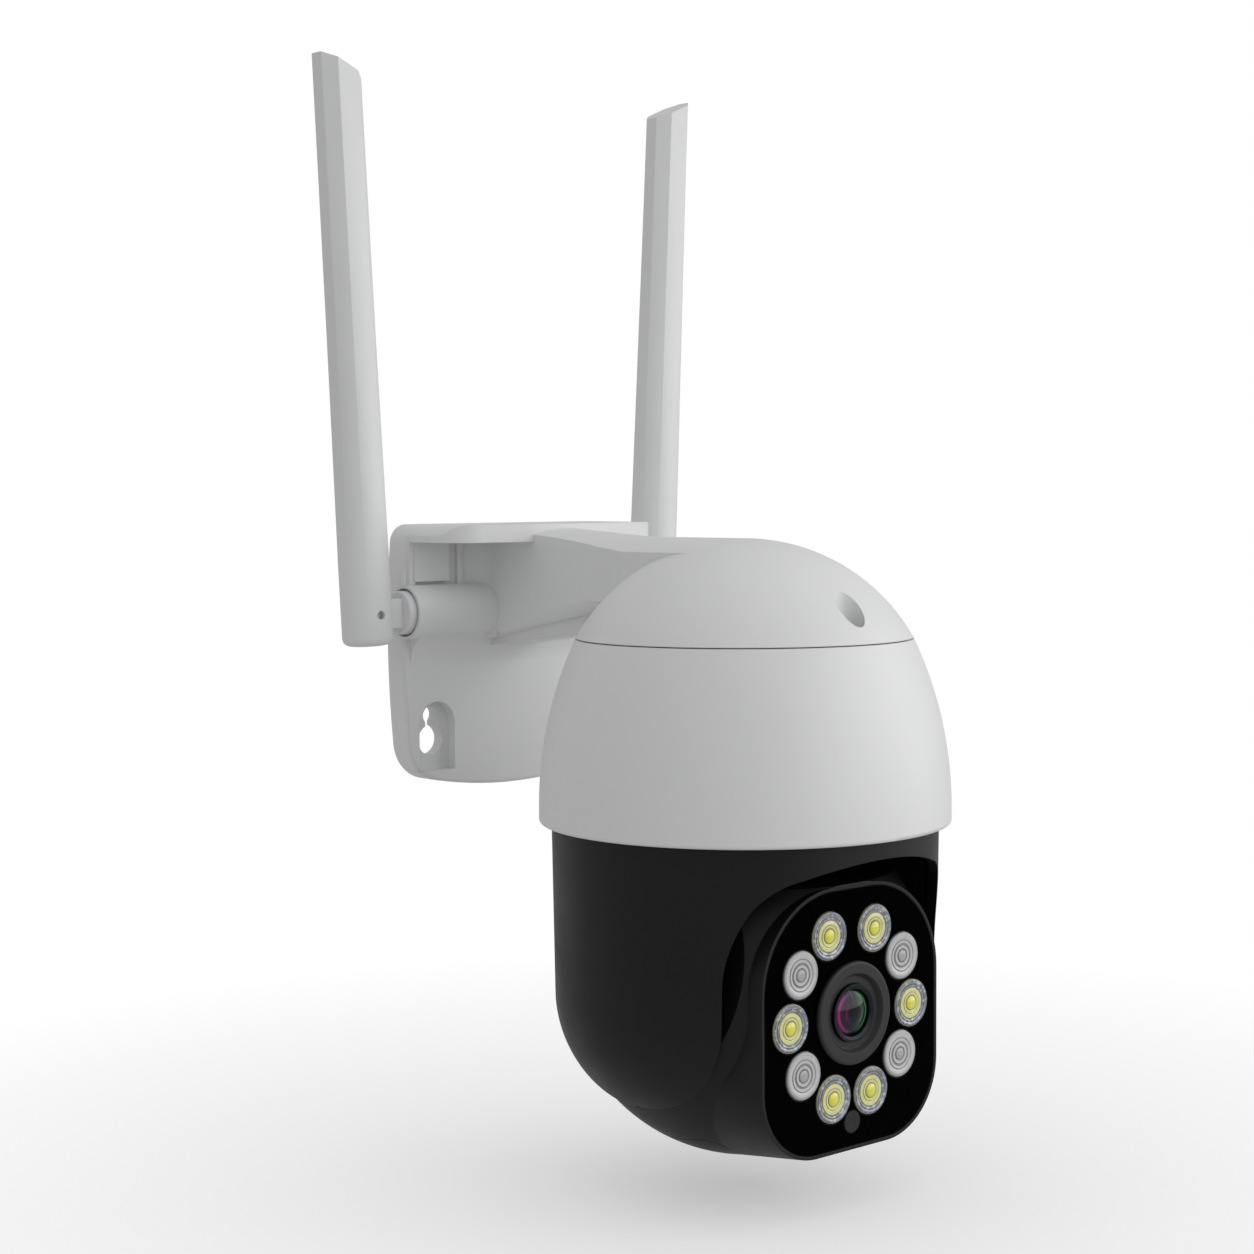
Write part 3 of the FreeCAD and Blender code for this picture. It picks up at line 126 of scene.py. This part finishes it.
class Nodes:
    """A material's node tree with short calls for what every finish here uses."""

    def __init__(self, name):
        self.material = bpy.data.materials.new(name)
        self.material.use_nodes = True
        self.tree = self.material.node_tree
        self.shader = self.tree.nodes["Principled BSDF"]
        self.place = self.add("ShaderNodeTexCoord").outputs["Object"]

    def add(self, kind, **settings):
        node = self.tree.nodes.new(kind)
        for key, value in settings.items():
            setattr(node, key, value)
        return node

    def link(self, source, target):
        self.tree.links.new(source, target)

    def put(self, socket, value):
        self.shader.inputs[socket].default_value = value

    def noise(self, scale, detail=2.0, stretch=(1, 1, 1)):
        mapping = self.add("ShaderNodeMapping")
        mapping.inputs["Scale"].default_value = stretch
        self.link(self.place, mapping.inputs["Vector"])
        node = self.add("ShaderNodeTexNoise")
        node.inputs["Scale"].default_value = scale
        node.inputs["Detail"].default_value = detail
        self.link(mapping.outputs["Vector"], node.inputs["Vector"])
        return node.outputs["Fac"]

    def remap(self, value, low, high, new_low, new_high):
        node = self.add("ShaderNodeMapRange")
        for socket, number in zip(("From Min", "From Max", "To Min", "To Max"),
                                  (low, high, new_low, new_high)):
            node.inputs[socket].default_value = number
        self.link(value, node.inputs["Value"])
        return node.outputs["Result"]

    def mix(self, factor, first, second):
        node = self.add("ShaderNodeMix", data_type="RGBA")
        self.link(factor, node.inputs["Factor"])
        for socket, value in ((COLOUR_A, first), (COLOUR_B, second)):
            if hasattr(value, "is_output"):
                self.link(value, node.inputs[socket])
            else:
                node.inputs[socket].default_value = (*value, 1)
        return node.outputs[COLOUR_OUT]

    def edges(self, radius):
        """Softened normal and a 0-1 mask along edges."""
        bevel = self.add("ShaderNodeBevel", samples=4)
        bevel.inputs["Radius"].default_value = radius
        geometry = self.add("ShaderNodeNewGeometry")
        dot = self.add("ShaderNodeVectorMath", operation="DOT_PRODUCT")
        self.link(bevel.outputs["Normal"], dot.inputs[0])
        self.link(geometry.outputs["Normal"], dot.inputs[1])
        mask = self.remap(dot.outputs["Value"], EDGE_STARTS, EDGE_FULL, 0, 1)
        return bevel.outputs["Normal"], mask

    def bump(self, height, strength, distance, normal=None):
        node = self.add("ShaderNodeBump")
        node.inputs["Strength"].default_value = strength
        node.inputs["Distance"].default_value = distance
        self.link(height, node.inputs["Height"])
        if normal is not None:
            self.link(normal, node.inputs["Normal"])
        self.link(node.outputs["Normal"], self.shader.inputs["Normal"])


def scaled(colour, factor):
    return tuple(min(1.0, c * factor) for c in colour)


def moulded(name, colour, rough, grain=1400.0, grain_strength=0.12, wear_and_highlight=1.12,
            edge=0.35 * MM, specular=0.5, spread=0.03):
    """Injection-moulded plastic: fine spark grain, faint mottling, and edges painted lighter in
    patches, partly as rubbing from use and partly as a painted highlight.
    """
    n = Nodes(name)
    broad = n.noise(MOTTLE, 3.0)
    tone = n.mix(n.remap(broad, 0.35, 0.65, 0, 1),
                 scaled(colour, 1 - spread), scaled(colour, 1 + spread))
    soft_normal, mask = n.edges(edge)
    scuff_and_highlight = n.noise(SCUFF_AND_HIGHLIGHT, 5.0)
    # Lighter edges in patches: partly rubbed from use, partly a painted highlight.
    worn_and_highlit = n.add("ShaderNodeMath", operation="MULTIPLY")
    n.link(mask, worn_and_highlit.inputs[0])
    n.link(n.remap(scuff_and_highlight, 0.4, 0.7, 0.1, 0.8), worn_and_highlit.inputs[1])
    n.link(n.mix(worn_and_highlit.outputs["Value"], tone, scaled(colour, wear_and_highlight)), n.shader.inputs["Base Color"])
    n.link(n.remap(n.noise(GLOSS, 4.0), 0.3, 0.7, rough - 0.05, rough + 0.05),
           n.shader.inputs["Roughness"])
    n.bump(n.noise(grain, 2.0), grain_strength, 0.05 * MM, soft_normal)
    n.put("Specular IOR Level", specular)
    return n.material


def metal(name, colour, rough, brushed=(1, 1, 1), grain=500.0):
    """Machined or plated metal with fine drawn lines."""
    n = Nodes(name)
    lines = n.noise(grain, 3.0, brushed)
    n.link(n.mix(lines, scaled(colour, 0.82), scaled(colour, 1.1)), n.shader.inputs["Base Color"])
    n.link(n.remap(lines, 0.3, 0.7, rough - 0.08, rough + 0.1), n.shader.inputs["Roughness"])
    soft_normal, _ = n.edges(0.15 * MM)
    n.bump(lines, 0.15, 0.02 * MM, soft_normal)
    n.put("Metallic", 1.0)
    return n.material


def circuit_board(name):
    """Green solder mask with traces and tinned pads."""
    n = Nodes(name)
    brick = n.add("ShaderNodeTexBrick", offset=0.5)
    brick.inputs["Scale"].default_value = TRACES
    brick.inputs["Mortar Size"].default_value = 0.08
    brick.inputs["Color1"].default_value = (0.012, 0.13, 0.05, 1)
    brick.inputs["Color2"].default_value = (0.016, 0.16, 0.06, 1)
    brick.inputs["Mortar"].default_value = (0.03, 0.24, 0.09, 1)
    n.link(n.place, brick.inputs["Vector"])
    pads = n.add("ShaderNodeTexVoronoi")
    pads.inputs["Scale"].default_value = PADS
    n.link(n.place, pads.inputs["Vector"])
    pad = n.remap(pads.outputs["Distance"], 0.12, 0.16, 1, 0)
    n.link(n.mix(pad, brick.outputs["Color"], (0.7, 0.68, 0.6)), n.shader.inputs["Base Color"])
    n.link(pad, n.shader.inputs["Metallic"])
    n.link(n.remap(n.noise(MASK_GLOSS), 0.3, 0.7, 0.28, 0.42), n.shader.inputs["Roughness"])
    n.bump(brick.outputs["Fac"], 0.2, 0.03 * MM)
    return n.material


def foam_rubber(name, colour, rough):
    """Closed-cell foam or moulded rubber."""
    n = Nodes(name)
    cells = n.noise(CELLS, 4.0)
    n.link(n.mix(cells, scaled(colour, 0.7), scaled(colour, 1.5)), n.shader.inputs["Base Color"])
    n.link(n.remap(cells, 0.3, 0.7, rough - 0.1, rough + 0.08), n.shader.inputs["Roughness"])
    n.bump(cells, 0.5, 0.08 * MM)
    return n.material


def polished_panel(name):
    """Gloss black acrylic: almost black, with faint polish lines and edge light."""
    n = Nodes(name)
    soft_normal, mask = n.edges(0.3 * MM)
    haze = n.noise(HAZE, 4.0)
    tone = n.mix(haze, (0.0002, 0.0002, 0.0003), (0.0006, 0.0006, 0.0008))
    # Edges painted lighter: a painted highlight along them.
    n.link(n.mix(mask, tone, (0.03, 0.03, 0.033)), n.shader.inputs["Base Color"])
    n.link(n.remap(haze, 0.3, 0.7, 0.09, 0.16), n.shader.inputs["Roughness"])
    n.bump(n.noise(POLISH, 3.0), 0.02, 0.01 * MM, soft_normal)
    n.put("Specular IOR Level", 0.01)
    return n.material


def resin(name, colour, rough, painted_glint=0.0, specular=0.6, mottle=0.2, coat=0.8):
    """Clear-coated moulded lamp resin; where asked, small light specks are painted in as glints.
    """
    n = Nodes(name)
    cloud = n.noise(CLOUD, 3.0)
    tone = n.mix(cloud, scaled(colour, 1 - mottle), scaled(colour, 1 + mottle))
    # Painted glints: small light specks mixed into the colour.
    glint_specks = n.add("ShaderNodeTexVoronoi", feature="SMOOTH_F1")
    glint_specks.inputs["Scale"].default_value = GLINT_SPECKS
    n.link(n.place, glint_specks.inputs["Vector"])
    glint_mask = n.remap(glint_specks.outputs["Distance"], 0.05, 0.45, painted_glint, 0)
    n.link(n.mix(glint_mask, tone, (0.95, 0.97, 1.0)), n.shader.inputs["Base Color"])
    n.link(n.remap(cloud, 0.3, 0.7, max(rough - 0.06, 0.02), rough + 0.06),
           n.shader.inputs["Roughness"])
    n.bump(cloud, 0.15, 0.05 * MM)
    n.put("Coat Weight", coat)
    n.put("Coat Roughness", 0.06)
    n.put("Specular IOR Level", specular)
    return n.material


def glass_painted_reflections(name, centre):
    """Front element: dark, with the coating's reflection painted on: magenta on one side and green
    on the other, in rings that grow stronger towards the edge.
    """
    n = Nodes(name)
    split = n.add("ShaderNodeSeparateXYZ")
    offset = n.add("ShaderNodeVectorMath", operation="SUBTRACT")
    offset.inputs[1].default_value = centre
    n.link(n.place, offset.inputs[0])
    n.link(offset.outputs["Vector"], split.inputs["Vector"])
    length = n.add("ShaderNodeVectorMath", operation="LENGTH")
    n.link(offset.outputs["Vector"], length.inputs[0])
    reach = GLASS_RADIUS * 0.9
    side = n.remap(split.outputs["X"], -reach, reach, 0, 1)
    # Painted reflection of the coating: magenta on the -X side, near black in the middle, green on
    # the +X side.
    reflection_tint = n.add("ShaderNodeValToRGB")
    stops = ((0.0, (0.42, 0.03, 0.22)), (0.22, (0.26, 0.02, 0.20)),
             (0.4, (0.02, 0.012, 0.06)), (0.55, (0.006, 0.012, 0.02)),
             (0.72, (0.03, 0.22, 0.06)), (1.0, (0.05, 0.30, 0.10)))
    while len(reflection_tint.color_ramp.elements) < len(stops):
        reflection_tint.color_ramp.elements.new(0.5)
    for element, (position, colour) in zip(reflection_tint.color_ramp.elements, stops):
        element.position = position
        element.color = (*colour, 1)
    n.link(side, reflection_tint.inputs["Fac"])
    # Painted reflection strength: rings across the radius, rising towards the edge.
    rings = n.add("ShaderNodeMath", operation="SINE")
    n.link(n.remap(length.outputs["Value"], 0, GLASS_RADIUS, 0, 17.0), rings.inputs[0])
    ring = n.remap(rings.outputs["Value"], 0.2, 1.0, 0.15, 1.0)
    rim = n.remap(length.outputs["Value"], GLASS_RADIUS * 0.25, GLASS_RADIUS * 0.85, 0, 1)
    shade = n.add("ShaderNodeMath", operation="MULTIPLY")
    n.link(ring, shade.inputs[0])
    n.link(rim, shade.inputs[1])
    n.link(n.mix(shade.outputs["Value"], (0.004, 0.004, 0.008), reflection_tint.outputs["Color"]),
           n.shader.inputs["Base Color"])
    n.link(n.remap(n.noise(GLASS_GLOSS), 0.3, 0.7, 0.03, 0.07), n.shader.inputs["Roughness"])
    n.put("Coat Weight", 0.25)
    n.put("Coat Roughness", 0.02)
    n.put("Specular IOR Level", 0.2)
    return n.material


# ---------------------------------------------------------------- finishes of the CAD pieces

def slot_materials():
    """One finish for each of the record's material slots."""
    # Each finish's edge factor paints its edges lighter: partly rubbing from use, partly a painted
    # highlight.
    return {
        "white_shell": moulded("white_shell", (0.78, 0.785, 0.785), 0.42, spread=0.012, wear_and_highlight=1.06),
        "antenna_white": moulded("antenna_white", (0.77, 0.775, 0.78), 0.45, spread=0.015,
                                 wear_and_highlight=1.08),
        "black_shell": moulded("black_shell", (0.0058, 0.006, 0.0064), 0.42, grain=1700.0,
                               grain_strength=0.2, wear_and_highlight=1.7, spread=0.1, specular=0.28),
        "black_inner": moulded("black_inner", (0.010, 0.010, 0.011), 0.6, wear_and_highlight=1.5, spread=0.1),
        "face_gloss": polished_panel("face_gloss"),
        "lens_bezel": moulded("lens_bezel", (0.010, 0.010, 0.0107), 0.5, wear_and_highlight=1.7, spread=0.08),
        "barrel_black": metal("barrel_black", (0.03, 0.034, 0.038), 0.35),
        "optic_glass": resin("optic_glass", (0.014, 0.014, 0.0155), 0.3, specular=0.3, coat=0.1),
        "white_lamp": resin("white_lamp", (0.5, 0.52, 0.55), 0.2),
        "infrared_lamp": resin("infrared_lamp", (0.45, 0.45, 0.46), 0.3),
        "chip_yellow": resin("chip_yellow", (0.72, 0.66, 0.10), 0.3),
        "board_green": circuit_board("board_green"),
        "part_dark": moulded("part_dark", (0.03, 0.03, 0.033), 0.5, spread=0.1),
        "steel": metal("steel", (0.52, 0.53, 0.55), 0.3, (1, 1, 8)),
        "brass": metal("brass", (0.70, 0.50, 0.22), 0.3),
        "gear_white": moulded("gear_white", (0.78, 0.77, 0.72), 0.45),
        "rubber_dark": foam_rubber("rubber_dark", (0.16, 0.16, 0.16), 0.8),
        "shield_metal": metal("shield_metal", (0.66, 0.66, 0.65), 0.28),
    }


def finish_cad_nodes(frame, materials):
    for entry in frame["record"]["subparts"]:
        node = frame["nodes"][entry["node"]]
        node.data.materials.clear()
        node.data.materials.append(materials[entry["material_slot"]])


# ---------------------------------------------------------------- turned pieces

def turned(name, profile, materials, centre, steps=72):
    """Revolve a profile about the line through centre along Y.

    The profile is a list of (radius, forward, material number) from the middle outwards;
    forward is the distance towards -Y, and a number is the finish of the band that ends there.
    """
    vertices = [(centre[0], centre[1] - profile[0][1], centre[2])]
    faces = []
    finish = []
    for radius, forward, _ in profile[1:]:
        for i in range(steps):
            a = 2 * math.pi * i / steps
            vertices.append((centre[0] + radius * math.cos(a), centre[1] - forward,
                             centre[2] + radius * math.sin(a)))
    for i in range(steps):
        faces.append((0, 1 + i, 1 + (i + 1) % steps))
        finish.append(profile[1][2])
    for band in range(1, len(profile) - 1):
        low = 1 + (band - 1) * steps
        high = low + steps
        for i in range(steps):
            j = (i + 1) % steps
            faces.append((low + i, high + i, high + j, low + j))
            finish.append(profile[band + 1][2])
    mesh = bpy.data.meshes.new(name)
    mesh.from_pydata(vertices, [], faces)
    for material in materials:
        mesh.materials.append(material)
    for polygon, number in zip(mesh.polygons, finish):
        polygon.material_index = number
        polygon.use_smooth = True
    mesh.set_sharp_from_angle(angle=math.radians(32))
    piece = bpy.data.objects.new(name, mesh)
    bpy.context.scene.collection.objects.link(piece)
    return piece


def scaled_profile(points):
    """A profile given in millimetres, in metres."""
    return [(r * MM, f * MM, m) for r, f, m in points]


def white_lamp_profile():
    """Clear collimator lens: chip image in the middle, stepped rings and a thick clear rim; the
    recessed steps, the lens's side and the bevelled rings are painted darker as shade.
    """
    return scaled_profile([
        (0, 0.60, CHIP), (0.8, 0.56, CHIP), (1.5, 0.36, CHIP), (1.75, 0.16, CHIP),
        (1.85, -0.02, GAP_SHADE), (2.05, -0.02, GAP_SHADE), (2.2, 0.14, YELLOW), (2.7, 0.20, YELLOW),
        (2.85, 0.10, GAP_SHADE), (2.95, 0.10, GAP_SHADE), (3.1, 0.18, YELLOW), (3.95, 0.10, YELLOW),
        (4.1, -0.10, GAP_SHADE), (4.25, -0.10, GAP_SHADE), (4.4, 0.14, CLEAR), (4.8, 0.28, CLEAR),
        (5.1, 0.22, BEVEL_SHADE), (5.35, 0.34, CLEAR), (5.75, 0.38, CLEAR), (6.0, 0.30, BEVEL_SHADE),
        (6.15, 0.20, GAP_SHADE), (6.25, 0.05, GAP_SHADE), (6.3, -0.4, GAP_SHADE), (6.3, -3.2, GAP_SHADE),
        (6.0, -3.5, GAP_SHADE)])


def infrared_lamp_profile():
    """Frosted lens: crowned middle, two grooves and a flat rim; the grooves and the outer edge are
    painted darker as shade, the raised bands lighter as a painted highlight.
    """
    return scaled_profile([
        (0, 0.46, FROST), (0.8, 0.43, FROST), (1.4, 0.26, FROST), (1.55, 0.06, GROOVE_SHADE),
        (1.8, 0.04, GROOVE_SHADE), (1.95, 0.24, FROST), (2.6, 0.27, PALE_HIGHLIGHT), (2.8, 0.10, GROOVE_SHADE),
        (3.15, 0.08, GROOVE_SHADE), (3.3, 0.24, FROST), (3.9, 0.32, PALE_HIGHLIGHT), (4.05, 0.22, GROOVE_SHADE),
        (4.2, 0.22, GROOVE_SHADE), (4.35, 0.32, FROST), (5.3, 0.36, PALE_HIGHLIGHT), (5.85, 0.30, FROST),
        (6.05, 0.18, GROOVE_SHADE), (6.25, 0.02, EDGE_SHADE), (6.3, -0.4, EDGE_SHADE), (6.3, -3.2, EDGE_SHADE),
        (6.0, -3.5, EDGE_SHADE)])


def loose_parts(node):
    """Middles of the boxes round a CAD node's separate solids, from the lowest up."""
    mesh = node.data
    parent = list(range(len(mesh.vertices)))

    def root(i):
        while parent[i] != i:
            parent[i] = parent[parent[i]]
            i = parent[i]
        return i

    seen = {}
    for vertex in mesh.vertices:
        key = tuple(round(c, 6) for c in vertex.co)
        first = seen.setdefault(key, vertex.index)
        parent[root(vertex.index)] = root(first)
    for edge in mesh.edges:
        a, b = edge.vertices
        parent[root(a)] = root(b)
    groups = {}
    for vertex in mesh.vertices:
        groups.setdefault(root(vertex.index), []).append(vertex.co)
    centres = []
    for points in groups.values():
        low = Vector(min(p[i] for p in points) for i in range(3))
        high = Vector(max(p[i] for p in points) for i in range(3))
        centres.append((low + high) / 2)
    return sorted(centres, key=lambda c: (round(c.z, 4), round(c.x, 4)))


def make_lamps(frame, face_y):
    """A turned lens in front of each lamp of the CAD, standing for the CAD's plain one."""
    clear = resin("lamp_clear", (0.22, 0.24, 0.30), 0.10, painted_glint=0.65, specular=0.9, mottle=0.7)
    yellow = resin("lamp_phosphor", (0.74, 0.73, 0.27), 0.22, painted_glint=0.15)
    # Painted shade: a darker copy of the phosphor, for the recessed steps and the lens's side.
    gap_shade = resin("lamp_gap_shade", (0.30, 0.30, 0.19), 0.3, mottle=0.4)
    chip = resin("lamp_chip", (0.82, 0.78, 0.06), 0.2, mottle=0.1)
    # Painted shade: a darker copy of the clear resin, for the bevelled rings, with painted glints.
    bevel = resin("lamp_bevel_shade", (0.07, 0.075, 0.09), 0.12, painted_glint=0.3, mottle=0.5)
    frost = resin("lamp_frost", (0.40, 0.40, 0.405), 0.34, mottle=0.12)
    # Darker and lighter copies of the frost: painted shade in the grooves and on the outer edge,
    # painted highlight on the raised bands.
    groove_shade = resin("lamp_groove_shade", (0.22, 0.22, 0.225), 0.35)
    edge = resin("lamp_edge_shade", (0.06, 0.06, 0.062), 0.3)
    pale_highlight = resin("lamp_pale_highlight", (0.56, 0.56, 0.565), 0.3, mottle=0.1)
    kinds = (("white_led_lenses", white_lamp_profile(),
              (clear, yellow, gap_shade, chip, bevel), "white_lamp"),
             ("infrared_led_lenses", infrared_lamp_profile(),
              (frost, groove_shade, edge, pale_highlight), "infrared_lamp"))
    for node, profile, materials, slot in kinds:
        for i, centre in enumerate(loose_parts(frame["nodes"][node])):
            place = (centre.x, face_y, centre.z)
            lamp = turned("%s_lamp_%d" % (slot.split("_")[0], i + 1), profile, materials, place)
            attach(lamp, "tilt")
            if i == 0:
                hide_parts(node)


def make_lens():
    """Domed front element and its retaining ring, standing for the CAD's plain one."""
    low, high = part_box("lens_glass")
    middle = (low + high) / 2
    front = (middle.x, low.y, middle.z)
    glass = glass_painted_reflections("lens_painted_reflections", (middle.x, low.y + 0.6 * MM, middle.z))
    rim = metal("lens_retainer", (0.05, 0.06, 0.065), 0.28)
    points = [(r, math.sqrt(GLASS_BULGE_MM ** 2 - r ** 2) - GLASS_BULGE_MM, GLASS)
              for r in (0, 1, 2, 3, 4, 4.8, 5.5, GLASS_RADIUS_MM)]
    points += [(GLASS_RADIUS_MM, -4.4, RIM), (5.6, -4.5, RIM)]
    lens = turned("lens_front_element", scaled_profile(points), (glass, rim), front)
    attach(lens, "tilt")
    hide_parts("lens_glass")


# ---------------------------------------------------------------- studio

def make_camera():
    data = bpy.data.cameras.new("camera")
    data.lens = CAMERA_LENS_MM
    data.sensor_width = CAMERA_SENSOR_MM
    data.clip_start, data.clip_end = CAMERA_CLIP
    camera = bpy.data.objects.new("camera", data)
    bpy.context.scene.collection.objects.link(camera)
    level = math.cos(CAMERA_PITCH)
    forward = Vector((math.cos(CAMERA_HEADING) * level, math.sin(CAMERA_HEADING) * level,
                      math.sin(CAMERA_PITCH)))
    right = forward.cross(Vector((0, 0, 1))).normalized()
    up = right.cross(forward)
    side = right * math.cos(CAMERA_ROLL) + up * math.sin(CAMERA_ROLL)
    top = up * math.cos(CAMERA_ROLL) - right * math.sin(CAMERA_ROLL)
    axes = Matrix((side, top, -forward)).transposed().to_4x4()
    camera.matrix_world = Matrix.Translation(CAMERA_PLACE) @ axes
    bpy.context.scene.camera = camera


def area_light(name, place, target, width, height, watts):
    data = bpy.data.lights.new(name, "AREA")
    data.shape = "RECTANGLE"
    data.size = width
    data.size_y = height
    data.energy = watts
    light = bpy.data.objects.new(name, data)
    bpy.context.scene.collection.objects.link(light)
    place = Vector(place)
    light.location = place
    light.rotation_euler = (Vector(target) - place).to_track_quat("-Z", "Y").to_euler()


def from_viewer(centre, angle_deg, distance, height):
    """A place round the dome's axis, at an angle to the viewer's right."""
    toward = CAMERA_HEADING + math.pi + math.radians(angle_deg)
    return (centre.x + distance * math.cos(toward), centre.y + distance * math.sin(toward), height)


def make_lights():
    low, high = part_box("dome_shell")
    centre = (low + high) / 2
    for name, light in (("key", KEY_LIGHT), ("side", SIDE_LIGHT)):
        angle, distance, height, width, length, watts = light
        place = from_viewer(centre, angle, distance, height)
        area_light(name, place, centre, width, length, watts)
    area_light("overhead", (centre.x, centre.y, OVERHEAD_HEIGHT), centre,
               OVERHEAD_SIZE, OVERHEAD_SIZE, OVERHEAD_WATTS)


def make_world():
    """White to the camera, dimmer as a light on the object."""
    world = bpy.data.worlds.new("studio")
    bpy.context.scene.world = world
    world.use_nodes = True
    tree = world.node_tree
    background = tree.nodes["Background"]
    background.inputs["Color"].default_value = (1, 1, 1, 1)
    path = tree.nodes.new("ShaderNodeLightPath")
    mix = tree.nodes.new("ShaderNodeMix")
    mix.inputs["A"].default_value = WORLD_LIGHT
    mix.inputs["B"].default_value = 1.0
    tree.links.new(path.outputs["Is Camera Ray"], mix.inputs["Factor"])
    tree.links.new(mix.outputs["Result"], background.inputs["Strength"])


def floor_paper(middle):
    """White paper that takes the object's shade and fades to plain white away from it."""
    n = Nodes("floor_paper")
    n.link(n.mix(n.noise(3.0), (0.90, 0.90, 0.90), (0.93, 0.93, 0.93)),
           n.shader.inputs["Base Color"])
    n.put("Roughness", 0.7)
    n.put("Specular IOR Level", 0.1)
    flat = n.add("ShaderNodeVectorMath", operation="MULTIPLY")
    flat.inputs[1].default_value = (1, 1, 0)
    n.link(n.place, flat.inputs[0])
    away = n.add("ShaderNodeVectorMath", operation="DISTANCE")
    away.inputs[1].default_value = (middle.x, middle.y, 0)
    n.link(flat.outputs["Vector"], away.inputs[0])
    fade = n.remap(away.outputs["Value"], 0, FLOOR_FAR, FLOOR_GLOW, 1)
    glow = n.add("ShaderNodeEmission")
    path = n.add("ShaderNodeLightPath")
    n.link(n.remap(path.outputs["Is Camera Ray"], 0, 1, FLOOR_LIGHT, 1), glow.inputs["Strength"])
    blend = n.add("ShaderNodeMixShader")
    n.link(fade, blend.inputs["Fac"])
    n.link(n.shader.outputs["BSDF"], blend.inputs[1])
    n.link(glow.outputs["Emission"], blend.inputs[2])
    n.link(blend.outputs["Shader"], n.tree.nodes["Material Output"].inputs["Surface"])
    return n.material


def make_floor():
    low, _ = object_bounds()
    z = low[2] - FLOOR_BELOW
    half = FLOOR_HALF_SIZE
    mesh = bpy.data.meshes.new("floor")
    mesh.from_pydata([(-half, -half, z), (half, -half, z), (half, half, z), (-half, half, z)],
                     [], [(0, 1, 2, 3)])
    floor = bpy.data.objects.new("floor", mesh)
    bpy.context.scene.collection.objects.link(floor)
    low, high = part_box("turntable")
    mesh.materials.append(floor_paper((low + high) / 2))


def main():
    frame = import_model()
    bpy.context.scene.view_settings.view_transform = "Standard"
    materials = slot_materials()
    finish_cad_nodes(frame, materials)
    face_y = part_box("face_panel")[0].y
    make_lamps(frame, face_y)
    make_lens()
    make_camera()
    make_lights()
    make_world()
    make_floor()


main()
